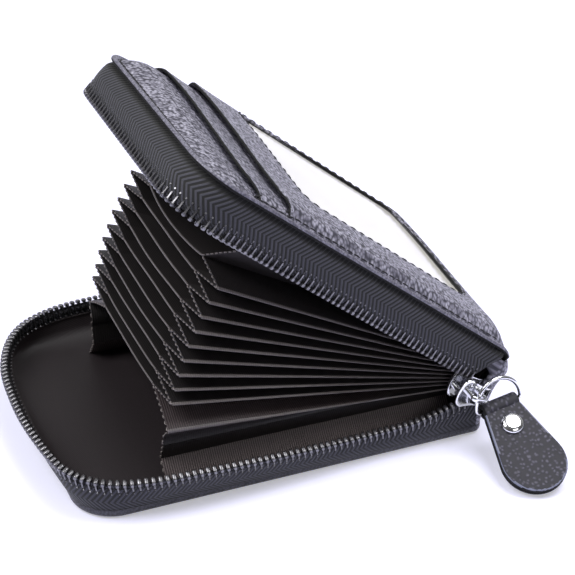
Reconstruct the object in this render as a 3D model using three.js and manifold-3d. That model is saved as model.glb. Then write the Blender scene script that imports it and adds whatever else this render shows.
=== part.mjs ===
// Zip card wallet, standing open on its back cover, in millimetres with +Z up.
// +X points to the spine, the mouth of the card fan faces -X, and the slider side is -Y.

import * as THREE from 'three';
import { mergeVertices } from 'three/addons/utils/BufferGeometryUtils.js';
import loadManifold from 'manifold-3d';

const wasm = await loadManifold();
wasm.setup();

const V3 = THREE.Vector3;
const radians = THREE.MathUtils.degToRad;

// Case
const caseLength = 110;
const caseWidth = 75;
const mouthCornerRadius = 11;
const spineCornerRadius = 3;
const hingeHeight = 13; // the spine folds here, on its outer face
const openAngle = radians(38); // lid angle as photographed, fan drawn tight

// Clearances
const layerGap = 0.05; // between layers glued or sewn face to face
const looseGap = 0.35; // between pieces that flex or move past one another

// Covers and their layers
const baseCoverThickness = 1.6;
const baseCoverRound = 0.7;
const boardThickness = 0.8;
const boardInset = 3;
const liningThickness = 0.4;
const liningInset = 1.6;
const lidDepth = 10.4; // hinge line to the lid cover
const lidCoverThickness = 2.6;
const lidCoverRound = 1.2;

// Spine
const spineThickness = 1.6;
const spineInset = 1.5; // from the case side
const spineLiningThickness = 0.6;
const spineLiningInset = 3.5;

// Zip tapes and chains
const tapeThickness = 0.6;
const tapeFootInset = 0.8;
const tapeEndInset = 2.5; // from the spine's outer face
const tapeSteps = 72;
const chainWidth = 2.2;
const chainHeight = 2;
const toothPitch = 1.8;
const toothDepth = 0.9;
const lidChainOut = 0.4; // chain stands this far outside the leather outline
const lidChainRadius = 13;
const lidChainEnd = 9.5; // distance of its last tooth from the hinge line

// Tooth tips of the base chain: the slack wall leans out, and dips beside the slider.
// Each entry is a share of the way round, the lean outward and the drop below the hinge line.
const baseRim = [
  [0.007, 1.3, 0.1], [0.023, 1.4, 0.6], [0.045, 1.6, 2.0], [0.07, 1.9, 3.2], [0.11, 2.0, 3.7],
  [0.16, 3.0, 3.2], [0.218, 4.1, 2.2], [0.279, 4.5, 1.4], [0.326, 4.0, 1.0], [0.362, 2.0, 0.9],
  [0.395, 2.9, 0.8], [0.45, 6.1, 0.8], [0.507, 6.8, 0.8], [0.57, 4.6, 0.7], [0.6235, -0.2, 0.6],
  [0.667, 3.7, 0.6], [0.725, 5.9, 0.6], [0.811, 5.7, 0.6], [0.901, 3.9, 0.7], [0.962, 2.1, 0.8],
  [0.993, 1.3, 0.8],
];

// Card fan
const leafCount = 10;
const leafThickness = 0.5;
const leafPitch = 1.3; // spacing of the shut stack
const fanShift = -3; // the fan sits a little to the slider side
const leafInset = 20.2; // from the case's side to the leaf's side, before that shift
const leafRoot = 4; // distance from the hinge line
const mouthSetback = 22.7; // from the case's mouth end to the fan's mouth
const lowFoldShare = 0.135; // the lowest inner fold hangs below the first leaf
const lowFoldDrop = 0.75;
const lowFoldOut = 10;
const firstLeafShare = 0.32; // share of the lid's angle that the lowest leaf takes
const lastLeafShare = 0.743;
const gussetRoot = 8;
const gussetCloth = 1.6; // sideways width of the folded cloth
const ridgeInset = 6.2; // from the case's side to the outer folds, before the shift

// Panels on the lid
const panelInset = 0.7;
const panelThickness = 0.7;
const firstMouthSetback = 13.3; // from the mouth end of the lid
const secondMouthSetback = 22.5;
const mouthSagitta = 1;
const windowLength = 61;
const windowWidth = 50;
const windowSpineMargin = 10.5;
const windowFarMargin = 8.5;
const windowRadius = 5;
const filmMargin = 3;
const filmThickness = 0.2;

// Slider, on a line between the two chains
const sliderAngle = radians(24);
const sliderTail = 2.5; // distances from the hinge line
const sliderNose = 12;
const sliderShoulder = 9.3;
const sliderShoulderLength = 2;
const sliderMiddle = -0.5; // height of its middle above that line
const sliderHalfHeight = 4.1;
const sliderTailHalfHeight = 2.7;
const sliderPlate = 1;
const channelSlackOut = 1.1; // the base chain leans out, so the outer plate stands off further
const channelSlackIn = 0.4;
const postLength = 2;
const postBottom = -1.9;
const postTop = -0.45;
const bridgeMiddle = 6.95;
const bridgeHeightOffset = 0;
const bridgeHole = 3.6;
const bridgeHoleDepth = 2.7;
const bridgeBar = 0.9;
const bridgeThickness = 1.4;

// Stop at the foot of the zip
const stopSpan = [2, 4];
const stopHeights = [-1, 0.8];
const stopInset = 0.7; // from the plates of the slider

// D-shaped pull ring
const wireRadius = 0.6;
const ringHalfWidth = 6.4;
const ringHeight = 8.3;
const ringCorner = 1.1;
const ringHang = 4.8; // height on the ring's side that lies in the bridge
const ringStandoff = 1.7; // wire centre from the slider's outer plate
const ringLean = radians(6);
const ringRoll = radians(10); // it hangs aslant, its slider side low

// Pull tab, a folded strap riveted below the ring
const tabLength = 26.3;
const tabThickness = 2.6;
const tabLoopRadius = 2;
const tabNeckHalfWidth = 5.2;
const tabEndRadius = 8.6;
const tabTipClearance = 0.25; // over the surface that the wallet stands on
const tabNeckLength = 1.5;
const rivetAt = 6.4;
const rivetCapRadius = 3;
const rivetCapHeight = 1.4;
const rivetPostRadius = 1.1;
const boreClearance = 0.3;
const rivetBackRadius = 2.7;
const rivetBackThickness = 0.8;

// Derived places
const halfLength = caseLength / 2;
const halfWidth = caseWidth / 2;
const tapeEndX = halfLength - tapeEndInset;
const floorHeight = baseCoverThickness + boardThickness + liningThickness + 2 * layerGap;
const lidCoverBottom = hingeHeight + lidDepth; // lid heights are with the lid shut
const lidCoverTop = lidCoverBottom + lidCoverThickness;
const lidBoardBottom = lidCoverBottom - layerGap - boardThickness;
const lidLiningBottom = lidBoardBottom - layerGap - liningThickness;
const spineInnerX = halfLength - spineThickness;
const spineWidth = caseWidth - 2 * spineInset;
const spineLiningWidth = caseWidth - 2 * spineLiningInset;
const liningSpineX = spineInnerX - spineLiningThickness - 2 * layerGap;
const lidChainTip = hingeHeight - layerGap;
const chainY = halfWidth + lidChainOut;
const sliderChannel = [
  -chainY - chainWidth / 2 - channelSlackOut,
  -chainY + chainWidth / 2 + channelSlackIn,
];
const plateOuterY = sliderChannel[0] - sliderPlate;
const leafHalfWidth = halfWidth - leafInset;
const ridgeOut = halfWidth - ridgeInset;
const leafReach = caseLength - mouthSetback;
const firstMouthX = firstMouthSetback - halfLength;
const secondMouthX = secondMouthSetback - halfLength;

const wallet = new THREE.Group();

// Helpers

function finish(geometry) {
  geometry.deleteAttribute('normal');
  geometry.deleteAttribute('uv');
  const welded = mergeVertices(geometry, 1e-5);
  welded.computeVertexNormals();
  return welded;
}

function toManifold(geometry) {
  const welded = finish(geometry.clone());
  const mesh = new wasm.Mesh({
    numProp: 3,
    vertProperties: new Float32Array(welded.attributes.position.array),
    triVerts: new Uint32Array(welded.index.array),
  });
  mesh.merge();
  return new wasm.Manifold(mesh);
}

function fromManifold(solid) {
  const mesh = solid.getMesh();
  const geometry = new THREE.BufferGeometry();
  geometry.setAttribute('position', new THREE.BufferAttribute(mesh.vertProperties, 3));
  geometry.setIndex(new THREE.BufferAttribute(mesh.triVerts, 1));
  geometry.computeVertexNormals();
  return geometry;
}

function addPart(group, name, geometry, finishOf) {
  const mesh = new THREE.Mesh(geometry, new THREE.MeshStandardMaterial(finishOf));
  mesh.name = name;
  group.add(mesh);
  return mesh;
}

function hingedGroup(angle) {
  const group = new THREE.Group();
  group.position.set(halfLength, 0, hingeHeight);
  group.rotation.y = angle;
  wallet.add(group);
  return group;
}

function plate(shape, bottom, thickness, round = 0) {
  const geometry = new THREE.ExtrudeGeometry(shape, {
    depth: thickness - 2 * round,
    bevelEnabled: round > 0,
    bevelThickness: round,
    bevelSize: round,
    bevelOffset: -round,
    bevelSegments: 3,
    curveSegments: 10,
  });
  geometry.translate(0, 0, bottom + round);
  return finish(geometry);
}

// A closed solid between two matching grids of points
function thickSheet(front, back) {
  const rows = front.length;
  const columns = front[0].length;
  const points = [...front.flat(), ...back.flat()];
  const at = (side, i, j) => (side * rows + i) * columns + j;
  const triangles = [];
  const quad = (a, b, c, d) => triangles.push(a, b, c, a, c, d);
  for (let i = 0; i < rows - 1; i += 1) {
    for (let j = 0; j < columns - 1; j += 1) {
      quad(at(0, i, j), at(0, i + 1, j), at(0, i + 1, j + 1), at(0, i, j + 1));
      quad(at(1, i, j), at(1, i, j + 1), at(1, i + 1, j + 1), at(1, i + 1, j));
    }
    const last = columns - 1;
    quad(at(0, i, 0), at(1, i, 0), at(1, i + 1, 0), at(0, i + 1, 0));
    quad(at(0, i, last), at(0, i + 1, last), at(1, i + 1, last), at(1, i, last));
  }
  for (let j = 0; j < columns - 1; j += 1) {
    const last = rows - 1;
    quad(at(0, 0, j), at(0, 0, j + 1), at(1, 0, j + 1), at(1, 0, j));
    quad(at(0, last, j + 1), at(0, last, j), at(1, last, j), at(1, last, j + 1));
  }
  return faceOut(points, triangles);
}

function faceOut(points, triangles) {
  let volume = 0;
  for (let k = 0; k < triangles.length; k += 3) {
    const [a, b, c] = [0, 1, 2].map((n) => points[triangles[k + n]]);
    volume += a.dot(b.clone().cross(c));
  }
  const geometry = new THREE.BufferGeometry().setFromPoints(points);
  geometry.setIndex(volume > 0 ? triangles : triangles.slice().reverse());
  geometry.computeVertexNormals();
  return geometry;
}

// Outline of a cover, drawn in by an inset; the spine end may be set on its own
function caseOutline(inset, spineX = halfLength - inset) {
  const mouthX = -halfLength + inset;
  const sideY = halfWidth - inset;
  const r = mouthCornerRadius - inset;
  const shape = new THREE.Shape();
  shape.moveTo(mouthX + r, -sideY);
  shape.lineTo(spineX - spineCornerRadius, -sideY);
  shape.absarc(spineX - spineCornerRadius, -sideY + spineCornerRadius, spineCornerRadius, -Math.PI / 2, 0);
  shape.absarc(spineX - spineCornerRadius, sideY - spineCornerRadius, spineCornerRadius, 0, Math.PI / 2);
  shape.lineTo(mouthX + r, sideY);
  shape.absarc(mouthX + r, sideY - r, r, Math.PI / 2, Math.PI);
  shape.absarc(mouthX + r, -sideY + r, r, Math.PI, 1.5 * Math.PI);
  return shape;
}

// A line along three sides, from the slider side round the mouth to the far side
function rimPath(outward, radius, endX) {
  const mouthX = -halfLength - outward;
  const sideY = halfWidth + outward;
  const path = new THREE.Path();
  path.moveTo(endX, -sideY);
  path.lineTo(mouthX + radius, -sideY);
  path.absarc(mouthX + radius, -sideY + radius, radius, -Math.PI / 2, -Math.PI, true);
  path.absarc(mouthX + radius, sideY - radius, radius, Math.PI, Math.PI / 2, true);
  path.lineTo(endX, sideY);
  return path;
}

function rimPoints(outward, radius, height, endX, count) {
  const path = rimPath(outward, radius, endX);
  return path.getSpacedPoints(count).map((p) => new V3(p.x, p.y, height));
}

// Directions at each point of a zip: up the tape, and square to the tape
function rimFrames(feet, tips) {
  return tips.map((tip, i) => {
    const before = tips[Math.max(i - 1, 0)];
    const after = tips[Math.min(i + 1, tips.length - 1)];
    const up = tip.clone().sub(feet[i]).normalize();
    const out = up.clone().cross(after.clone().sub(before)).normalize();
    return { foot: feet[i], tip, up, out };
  });
}

function zipTape(frames) {
  const side = (sign) => frames.map(({ foot, tip, up, out }) => {
    const shift = out.clone().multiplyScalar((sign * tapeThickness) / 2);
    const top = tip.clone().addScaledVector(up, -chainHeight - looseGap);
    return [foot.clone().add(shift), top.add(shift)];
  });
  return thickSheet(side(1), side(-1));
}

function zipChain(frames) {
  const side = (sign) => frames.map(({ tip, up, out }, i) => {
    const shift = out.clone().multiplyScalar((sign * chainWidth) / 2);
    const cut = i % 2 ? 0 : toothDepth;
    return [-chainHeight, -cut].map((h) => tip.clone().addScaledVector(up, h).add(shift));
  });
  return thickSheet(side(1), side(-1));
}

// Finishes
const grainLeather = { color: 0x35343d, roughness: 0.55, metalness: 0 };
const stiffBoard = { color: 0x6d6258, roughness: 0.9, metalness: 0 };
const liningCloth = { color: 0x1d1719, roughness: 0.75, metalness: 0 };
const wovenTape = { color: 0x2b2b31, roughness: 0.85, metalness: 0 };
const darkTeeth = { color: 0x4a4a50, roughness: 0.35, metalness: 0.9 };
const pocketCloth = { color: 0x2a2123, roughness: 0.7, metalness: 0 };
const clearFilm = { color: 0xeef0f2, roughness: 0.15, metalness: 0 };
const nickel = { color: 0xd8d9dc, roughness: 0.12, metalness: 1 };

// Base: cover, board, floor lining, spine and zip half

const footRadius = mouthCornerRadius - tapeFootInset;
const baseFloor = baseCoverThickness + layerGap;

addPart(wallet, 'base_cover', plate(caseOutline(0), 0, baseCoverThickness, baseCoverRound), grainLeather);
addPart(
  wallet,
  'base_board',
  plate(caseOutline(boardInset, liningSpineX), baseFloor, boardThickness),
  stiffBoard,
);
addPart(
  wallet,
  'base_lining',
  plate(caseOutline(liningInset, liningSpineX), floorHeight - liningThickness, liningThickness),
  liningCloth,
);

function spinePanel(outerX, thickness, width, bottom, top) {
  const geometry = new THREE.BoxGeometry(thickness, width, top - bottom);
  geometry.translate(outerX - thickness / 2, 0, (bottom + top) / 2);
  return finish(geometry);
}

addPart(
  wallet,
  'spine_lower',
  spinePanel(halfLength, spineThickness, spineWidth, baseFloor, hingeHeight - looseGap),
  grainLeather,
);
addPart(
  wallet,
  'spine_lining_lower',
  spinePanel(
    spineInnerX - layerGap,
    spineLiningThickness,
    spineLiningWidth,
    floorHeight + looseGap,
    hingeHeight - 2 * looseGap,
  ),
  liningCloth,
);

function baseRimPoint([share, lean, drop]) {
  const outline = rimPath(-tapeFootInset, footRadius, tapeEndX);
  const foot = outline.getPointAt(share);
  const along = outline.getTangentAt(share);
  return new V3(foot.x - along.y * lean, foot.y + along.x * lean, hingeHeight - drop);
}

const baseRimCurve = new THREE.CatmullRomCurve3(baseRim.map(baseRimPoint), false, 'centripetal');
const tapeFoot = baseCoverThickness + looseGap;
const baseFeet = (count) => rimPoints(-tapeFootInset, footRadius, tapeFoot, tapeEndX, count);
const baseFrames = (count) => rimFrames(baseFeet(count), baseRimCurve.getSpacedPoints(count));
const baseTeeth = Math.round(baseRimCurve.getLength() / toothPitch);

addPart(wallet, 'base_zip_tape', zipTape(baseFrames(tapeSteps)), wovenTape);
addPart(wallet, 'base_zip_chain', zipChain(baseFrames(2 * baseTeeth)), darkTeeth);

// Lid: drawn shut about the hinge line, then turned open

const lid = hingedGroup(openAngle);
const shut = (geometry) => geometry.translate(-halfLength, 0, -hingeHeight);

addPart(
  lid,
  'lid_cover',
  shut(plate(caseOutline(0), lidCoverBottom, lidCoverThickness, lidCoverRound)),
  grainLeather,
);
addPart(
  lid,
  'lid_board',
  shut(plate(caseOutline(boardInset, liningSpineX), lidBoardBottom, boardThickness)),
  stiffBoard,
);
addPart(
  lid,
  'lid_lining',
  shut(plate(caseOutline(liningInset, liningSpineX), lidLiningBottom, liningThickness)),
  liningCloth,
);
addPart(
  lid,
  'spine_upper',
  shut(
    spinePanel(
      halfLength,
      spineThickness,
      spineWidth,
      hingeHeight + looseGap,
      lidCoverBottom - layerGap,
    ),
  ),
  grainLeather,
);
addPart(
  lid,
  'spine_lining_upper',
  shut(
    spinePanel(
      spineInnerX - layerGap,
      spineLiningThickness,
      spineLiningWidth,
      hingeHeight + 2 * looseGap,
      lidLiningBottom - looseGap,
    ),
  ),
  liningCloth,
);

function lidFrames(count, endX) {
  const feet = rimPoints(-tapeFootInset, footRadius, lidCoverBottom - looseGap, endX, count);
  const tips = rimPoints(lidChainOut, lidChainRadius, lidChainTip, endX, count);
  return rimFrames(feet, tips);
}

const lidRimLength = 2 * (caseLength - lidChainEnd) + caseWidth - (4 - Math.PI) * lidChainRadius;
const lidTeeth = Math.round(lidRimLength / toothPitch);

addPart(lid, 'lid_zip_tape', shut(zipTape(lidFrames(tapeSteps, tapeEndX))), wovenTape);
addPart(
  lid,
  'lid_zip_chain',
  shut(zipChain(lidFrames(2 * lidTeeth, halfLength - lidChainEnd))),
  darkTeeth,
);

// Card slots and window on the lid: each panel's mouth is a shallow hollow arc

function slotPanelShape(mouthX) {
  const spineX = halfLength - panelInset;
  const sideY = halfWidth - panelInset;
  const shape = new THREE.Shape();
  shape.moveTo(mouthX, -sideY);
  shape.lineTo(spineX - spineCornerRadius, -sideY);
  shape.absarc(spineX - spineCornerRadius, -sideY + spineCornerRadius, spineCornerRadius, -Math.PI / 2, 0);
  shape.absarc(spineX - spineCornerRadius, sideY - spineCornerRadius, spineCornerRadius, 0, Math.PI / 2);
  shape.lineTo(mouthX, sideY);
  shape.quadraticCurveTo(mouthX + 2 * mouthSagitta, 0, mouthX, -sideY);
  return shape;
}

function windowShape(grow, kind) {
  const x1 = halfLength - windowSpineMargin + grow;
  const y1 = halfWidth - windowFarMargin + grow;
  const x0 = x1 - windowLength - 2 * grow;
  const y0 = y1 - windowWidth - 2 * grow;
  const r = windowRadius;
  const shape = new kind();
  shape.moveTo(x0 + r, y0);
  shape.lineTo(x1 - r, y0);
  shape.absarc(x1 - r, y0 + r, r, -Math.PI / 2, 0);
  shape.absarc(x1 - r, y1 - r, r, 0, Math.PI / 2);
  shape.absarc(x0 + r, y1 - r, r, Math.PI / 2, Math.PI);
  shape.absarc(x0 + r, y0 + r, r, Math.PI, 1.5 * Math.PI);
  return shape;
}

const slotBottom = lidCoverTop + layerGap;
const filmBottom = slotBottom + panelThickness + layerGap;
const windowBottom = filmBottom + filmThickness + layerGap;
const windowPanelShape = slotPanelShape(secondMouthX);
windowPanelShape.holes.push(windowShape(0, THREE.Path));

addPart(
  lid,
  'slot_panel',
  shut(plate(slotPanelShape(firstMouthX), slotBottom, panelThickness)),
  grainLeather,
);
addPart(
  lid,
  'window_film',
  shut(plate(windowShape(filmMargin, THREE.Shape), filmBottom, filmThickness)),
  clearFilm,
);
addPart(lid, 'window_panel', shut(plate(windowPanelShape, windowBottom, panelThickness)), grainLeather);

// Card fan: leaves turn about the hinge line, each by its own share of the lid's angle

const leafShare = (i) => firstLeafShare + ((lastLeafShare - firstLeafShare) * i) / (leafCount - 1);
const leafOffset = (i) => (i - (leafCount - 1) / 2) * leafPitch;

const leafShape = new THREE.Shape([
  new THREE.Vector2(-leafRoot, fanShift - leafHalfWidth),
  new THREE.Vector2(-leafRoot, fanShift + leafHalfWidth),
  new THREE.Vector2(-leafReach, fanShift + leafHalfWidth),
  new THREE.Vector2(-leafReach, fanShift - leafHalfWidth),
]);

for (let i = 0; i < leafCount; i += 1) {
  const name = `leaf_${String(i + 1).padStart(2, '0')}`;
  const leaf = plate(leafShape, leafOffset(i) - leafThickness / 2, leafThickness);
  addPart(hingedGroup(leafShare(i) * openAngle), name, leaf, pocketCloth);
}

// Gussets: one pleated strip on each side, from the floor over every leaf edge to the lid.
// A fold is its share of the lid's angle, its offset from the hinge line and its distance out.

function gussetFolds() {
  const leafEdge = leafHalfWidth + looseGap + gussetCloth / 2;
  const folds = [
    { share: 0, offset: floorHeight + looseGap - hingeHeight, out: ridgeOut },
    { share: lowFoldShare, offset: leafOffset(0) - lowFoldDrop, out: leafEdge + lowFoldOut },
  ];
  const inner = [];
  for (let i = 0; i < leafCount; i += 1) {
    inner.push({ share: leafShare(i), offset: leafOffset(i), out: leafEdge });
  }
  inner.push({ share: 1, offset: lidLiningBottom - looseGap - hingeHeight, out: leafEdge });
  for (const fold of inner) {
    const last = folds[folds.length - 1];
    folds.push({
      share: (last.share + fold.share) / 2,
      offset: (last.offset + fold.offset) / 2,
      out: ridgeOut,
    });
    folds.push(fold);
  }
  return folds;
}

function foldPoint({ share, offset }, reach, y) {
  const angle = share * openAngle;
  const x = halfLength + offset * Math.sin(angle) - reach * Math.cos(angle);
  const z = hingeHeight + offset * Math.cos(angle) + reach * Math.sin(angle);
  return new V3(x, y, z);
}

function gusset(side) {
  const face = (shift) => [gussetRoot, leafReach].map((reach) => (
    gussetFolds().map((fold) => foldPoint(fold, reach, fanShift + side * fold.out + shift))
  ));
  return thickSheet(face(gussetCloth / 2), face(-gussetCloth / 2));
}

addPart(wallet, 'front_gusset', gusset(-1), pocketCloth);
addPart(wallet, 'back_gusset', gusset(1), pocketCloth);

// Slider: two shield plates joined by a post between the chains, with a bridge for the ring

const zipLine = hingedGroup(sliderAngle);

function sliderShape() {
  const [top, bottom] = [sliderMiddle + sliderHalfHeight, sliderMiddle - sliderHalfHeight];
  const tailTop = sliderMiddle + sliderTailHalfHeight;
  const tailBottom = sliderMiddle - sliderTailHalfHeight;
  const waist = -sliderShoulder + sliderShoulderLength;
  const shape = new THREE.Shape();
  shape.moveTo(-sliderTail, tailBottom);
  shape.lineTo(-sliderTail, tailTop);
  shape.quadraticCurveTo(waist, tailTop, -sliderShoulder, top);
  shape.quadraticCurveTo(-sliderNose, top, -sliderNose, sliderMiddle);
  shape.quadraticCurveTo(-sliderNose, bottom, -sliderShoulder, bottom);
  shape.quadraticCurveTo(waist, tailBottom, -sliderTail, tailBottom);
  return shape;
}

function sliderPlateAt(outerY) {
  const geometry = plate(sliderShape(), 0, sliderPlate);
  geometry.rotateX(Math.PI / 2);
  return geometry.translate(0, outerY + sliderPlate, 0);
}

function sliderBody() {
  const channel = sliderChannel[1] - sliderChannel[0];
  const post = new THREE.BoxGeometry(postLength, channel + sliderPlate, postTop - postBottom);
  post.translate(
    -sliderNose + postLength,
    (sliderChannel[0] + sliderChannel[1]) / 2,
    (postTop + postBottom) / 2,
  );
  const outer = toManifold(sliderPlateAt(plateOuterY));
  const inner = toManifold(sliderPlateAt(sliderChannel[1]));
  return fromManifold(outer.add(inner).add(toManifold(post)));
}

function sliderBridge() {
  const half = bridgeHole / 2;
  const foot = half + bridgeBar;
  const plateY = plateOuterY - layerGap;
  const shape = new THREE.Shape();
  shape.moveTo(-foot, 0);
  shape.lineTo(-half, 0);
  shape.lineTo(-half, -bridgeHoleDepth);
  shape.lineTo(half, -bridgeHoleDepth);
  shape.lineTo(half, 0);
  shape.lineTo(foot, 0);
  shape.lineTo(foot, -bridgeHoleDepth);
  shape.lineTo(half, -bridgeHoleDepth - bridgeBar);
  shape.lineTo(-half, -bridgeHoleDepth - bridgeBar);
  shape.lineTo(-foot, -bridgeHoleDepth);
  const geometry = plate(shape, bridgeHeightOffset - bridgeThickness / 2, bridgeThickness);
  return geometry.translate(-bridgeMiddle, plateY, 0);
}

function zipStop() {
  const length = stopSpan[1] - stopSpan[0];
  const height = stopHeights[1] - stopHeights[0];
  const width = sliderChannel[1] - sliderChannel[0] - 2 * stopInset;
  const geometry = new THREE.BoxGeometry(length, width, height);
  geometry.translate(
    -(stopSpan[0] + stopSpan[1]) / 2,
    (sliderChannel[0] + sliderChannel[1]) / 2,
    (stopHeights[0] + stopHeights[1]) / 2,
  );
  return finish(geometry);
}

addPart(zipLine, 'zip_stop', zipStop(), darkTeeth);
addPart(zipLine, 'slider_body', sliderBody(), nickel);
addPart(zipLine, 'slider_bridge', sliderBridge(), nickel);

// Pull ring: a D of wire whose side hangs in the bridge

const ring = new THREE.Group();
ring.position.set(-bridgeMiddle, plateOuterY - ringStandoff, bridgeHeightOffset);
ring.position.applyAxisAngle(new V3(0, 1, 0), sliderAngle).add(zipLine.position);
ring.rotation.set(-ringLean, -ringRoll, 0);
wallet.add(ring);

function ringOutline() {
  const flat = ringHalfWidth - ringCorner;
  const path = new THREE.Path();
  path.moveTo(-flat, 0);
  path.lineTo(flat, 0);
  path.absarc(flat, ringCorner, ringCorner, -Math.PI / 2, 0);
  path.absellipse(0, ringCorner, ringHalfWidth, ringHeight - ringCorner, 0, Math.PI);
  path.absarc(-flat, ringCorner, ringCorner, Math.PI, 1.5 * Math.PI);
  return path.getSpacedPoints(56).slice(0, -1);
}

const rise = (ringHang - ringCorner) / (ringHeight - ringCorner);
const ringSide = ringHalfWidth * Math.sqrt(1 - rise * rise);

function ringWire() {
  const centres = ringOutline().map((p) => new V3(p.x + ringSide, 0, p.y - ringHang));
  const sides = 10;
  const count = centres.length;
  const points = [];
  const triangles = [];
  centres.forEach((centre, i) => {
    const along = centres[(i + 1) % count].clone().sub(centres[(i + count - 1) % count]).normalize();
    const across = new V3(-along.z, 0, along.x);
    for (let k = 0; k < sides; k += 1) {
      const turn = (2 * Math.PI * k) / sides;
      const point = centre.clone().addScaledVector(across, wireRadius * Math.cos(turn));
      point.y += wireRadius * Math.sin(turn);
      points.push(point);
      const a = i * sides + k;
      const b = i * sides + ((k + 1) % sides);
      const c = ((i + 1) % count) * sides + ((k + 1) % sides);
      const d = ((i + 1) % count) * sides + k;
      triangles.push(a, b, c, a, c, d);
    }
  });
  return faceOut(points, triangles);
}

addPart(ring, 'pull_ring', ringWire(), nickel);

// Pull tab: folded over the ring's bar, two layers, held by a rivet

const tab = new THREE.Group();
tab.position.set(ringSide, 0, -ringHang);
ring.add(tab);

// Height of the tab's lowest point when it is turned about the ring's bar
function tabLow(turn) {
  tab.rotation.x = turn;
  wallet.updateMatrixWorld(true);
  const e = tab.matrixWorld.elements;
  const endCentre = e[14] - (tabLength - tabEndRadius) * e[6];
  return endCentre - tabEndRadius * Math.hypot(e[2], e[6]) - (tabThickness / 2) * e[10];
}

let [shallow, steep] = [0, radians(60)];
while (steep - shallow > 1e-6) {
  const middle = (shallow + steep) / 2;
  if (tabLow(middle) > tabTipClearance) shallow = middle;
  else steep = middle;
}
tab.rotation.x = shallow;

function tabProfile() {
  const half = tabThickness / 2;
  const meet = Math.asin(half / tabLoopRadius);
  const shape = new THREE.Shape();
  shape.moveTo(tabLength + 1, half);
  shape.absarc(0, 0, tabLoopRadius, meet, 2 * Math.PI - meet);
  shape.lineTo(tabLength + 1, -half);
  const bore = new THREE.Path();
  bore.absarc(0, 0, wireRadius + boreClearance, 0, 2 * Math.PI);
  shape.holes.push(bore);
  return shape;
}

function tabOutline() {
  const centreY = -(tabLength - tabEndRadius);
  const tangentRise = -tabNeckLength - centreY;
  const reach = Math.hypot(tabNeckHalfWidth, tangentRise);
  const touch = Math.atan2(tangentRise, tabNeckHalfWidth) - Math.acos(tabEndRadius / reach);
  const shape = new THREE.Shape();
  shape.moveTo(-tabNeckHalfWidth, tabLoopRadius + 1);
  shape.lineTo(-tabNeckHalfWidth, -tabNeckLength);
  shape.absarc(0, centreY, tabEndRadius, Math.PI - touch, 2 * Math.PI + touch);
  shape.lineTo(tabNeckHalfWidth, -tabNeckLength);
  shape.lineTo(tabNeckHalfWidth, tabLoopRadius + 1);
  return shape;
}

function tabStrap() {
  const width = 2 * tabEndRadius + 2;
  const strip = new THREE.ExtrudeGeometry(tabProfile(), {
    depth: width,
    bevelEnabled: false,
    curveSegments: 14,
  });
  strip.translate(0, 0, -width / 2);
  strip.applyMatrix4(new THREE.Matrix4().makeBasis(new V3(0, -1, 0), new V3(0, 0, 1), new V3(-1, 0, 0)));
  const cutter = plate(tabOutline(), -tabLoopRadius - 1, 2 * tabLoopRadius + 2);
  const hole = new THREE.CylinderGeometry(
    rivetPostRadius + boreClearance,
    rivetPostRadius + boreClearance,
    2 * tabThickness,
    20,
  );
  hole.rotateX(Math.PI / 2).translate(0, -rivetAt, 0);
  return fromManifold(toManifold(strip).intersect(toManifold(cutter)).subtract(toManifold(hole)));
}

function turned(profile) {
  const geometry = new THREE.LatheGeometry(profile.map(([r, h]) => new THREE.Vector2(r, h)), 24);
  geometry.rotateX(Math.PI / 2).translate(0, -rivetAt, 0);
  const welded = finish(geometry);
  return fromManifold(toManifold(welded));
}

const rivetSeat = tabThickness / 2 + layerGap;
const postEnd = -rivetSeat - rivetBackThickness / 2;

const capProfile = [
  [0, postEnd],
  [rivetPostRadius, postEnd],
  [rivetPostRadius, rivetSeat],
  [rivetCapRadius, rivetSeat],
  [rivetCapRadius, rivetSeat + 0.3],
  [rivetCapRadius * 0.86, rivetSeat + rivetCapHeight * 0.62],
  [rivetCapRadius * 0.52, rivetSeat + rivetCapHeight * 0.92],
  [0, rivetSeat + rivetCapHeight],
];
const backProfile = [
  [0, -rivetSeat - rivetBackThickness],
  [rivetBackRadius, -rivetSeat - rivetBackThickness],
  [rivetBackRadius, -rivetSeat],
  [rivetPostRadius + layerGap, -rivetSeat],
  [rivetPostRadius + layerGap, postEnd - layerGap],
  [0, postEnd - layerGap],
];

addPart(tab, 'pull_tab', tabStrap(), grainLeather);
addPart(tab, 'rivet_cap', turned(capProfile), nickel);
addPart(tab, 'rivet_back', turned(backProfile), nickel);

export default wallet;
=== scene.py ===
import math

import bmesh
import bpy
import numpy as np
from mathutils import Matrix


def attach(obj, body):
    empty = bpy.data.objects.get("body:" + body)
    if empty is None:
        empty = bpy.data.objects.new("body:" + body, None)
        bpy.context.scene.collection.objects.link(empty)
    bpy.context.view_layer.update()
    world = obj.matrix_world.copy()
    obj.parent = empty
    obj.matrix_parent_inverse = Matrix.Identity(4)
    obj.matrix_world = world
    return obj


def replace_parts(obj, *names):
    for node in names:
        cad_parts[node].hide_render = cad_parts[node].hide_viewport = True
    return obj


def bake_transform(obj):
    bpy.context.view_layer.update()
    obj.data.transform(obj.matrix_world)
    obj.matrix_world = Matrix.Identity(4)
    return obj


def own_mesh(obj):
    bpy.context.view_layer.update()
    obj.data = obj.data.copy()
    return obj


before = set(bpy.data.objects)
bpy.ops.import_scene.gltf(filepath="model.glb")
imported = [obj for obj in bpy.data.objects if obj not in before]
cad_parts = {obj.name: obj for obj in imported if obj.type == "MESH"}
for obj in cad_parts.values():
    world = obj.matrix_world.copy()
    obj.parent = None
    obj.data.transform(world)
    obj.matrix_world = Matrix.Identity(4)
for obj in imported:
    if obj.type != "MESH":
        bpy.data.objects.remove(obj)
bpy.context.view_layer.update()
print("frame loaded:", len(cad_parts), "nodes")

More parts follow.
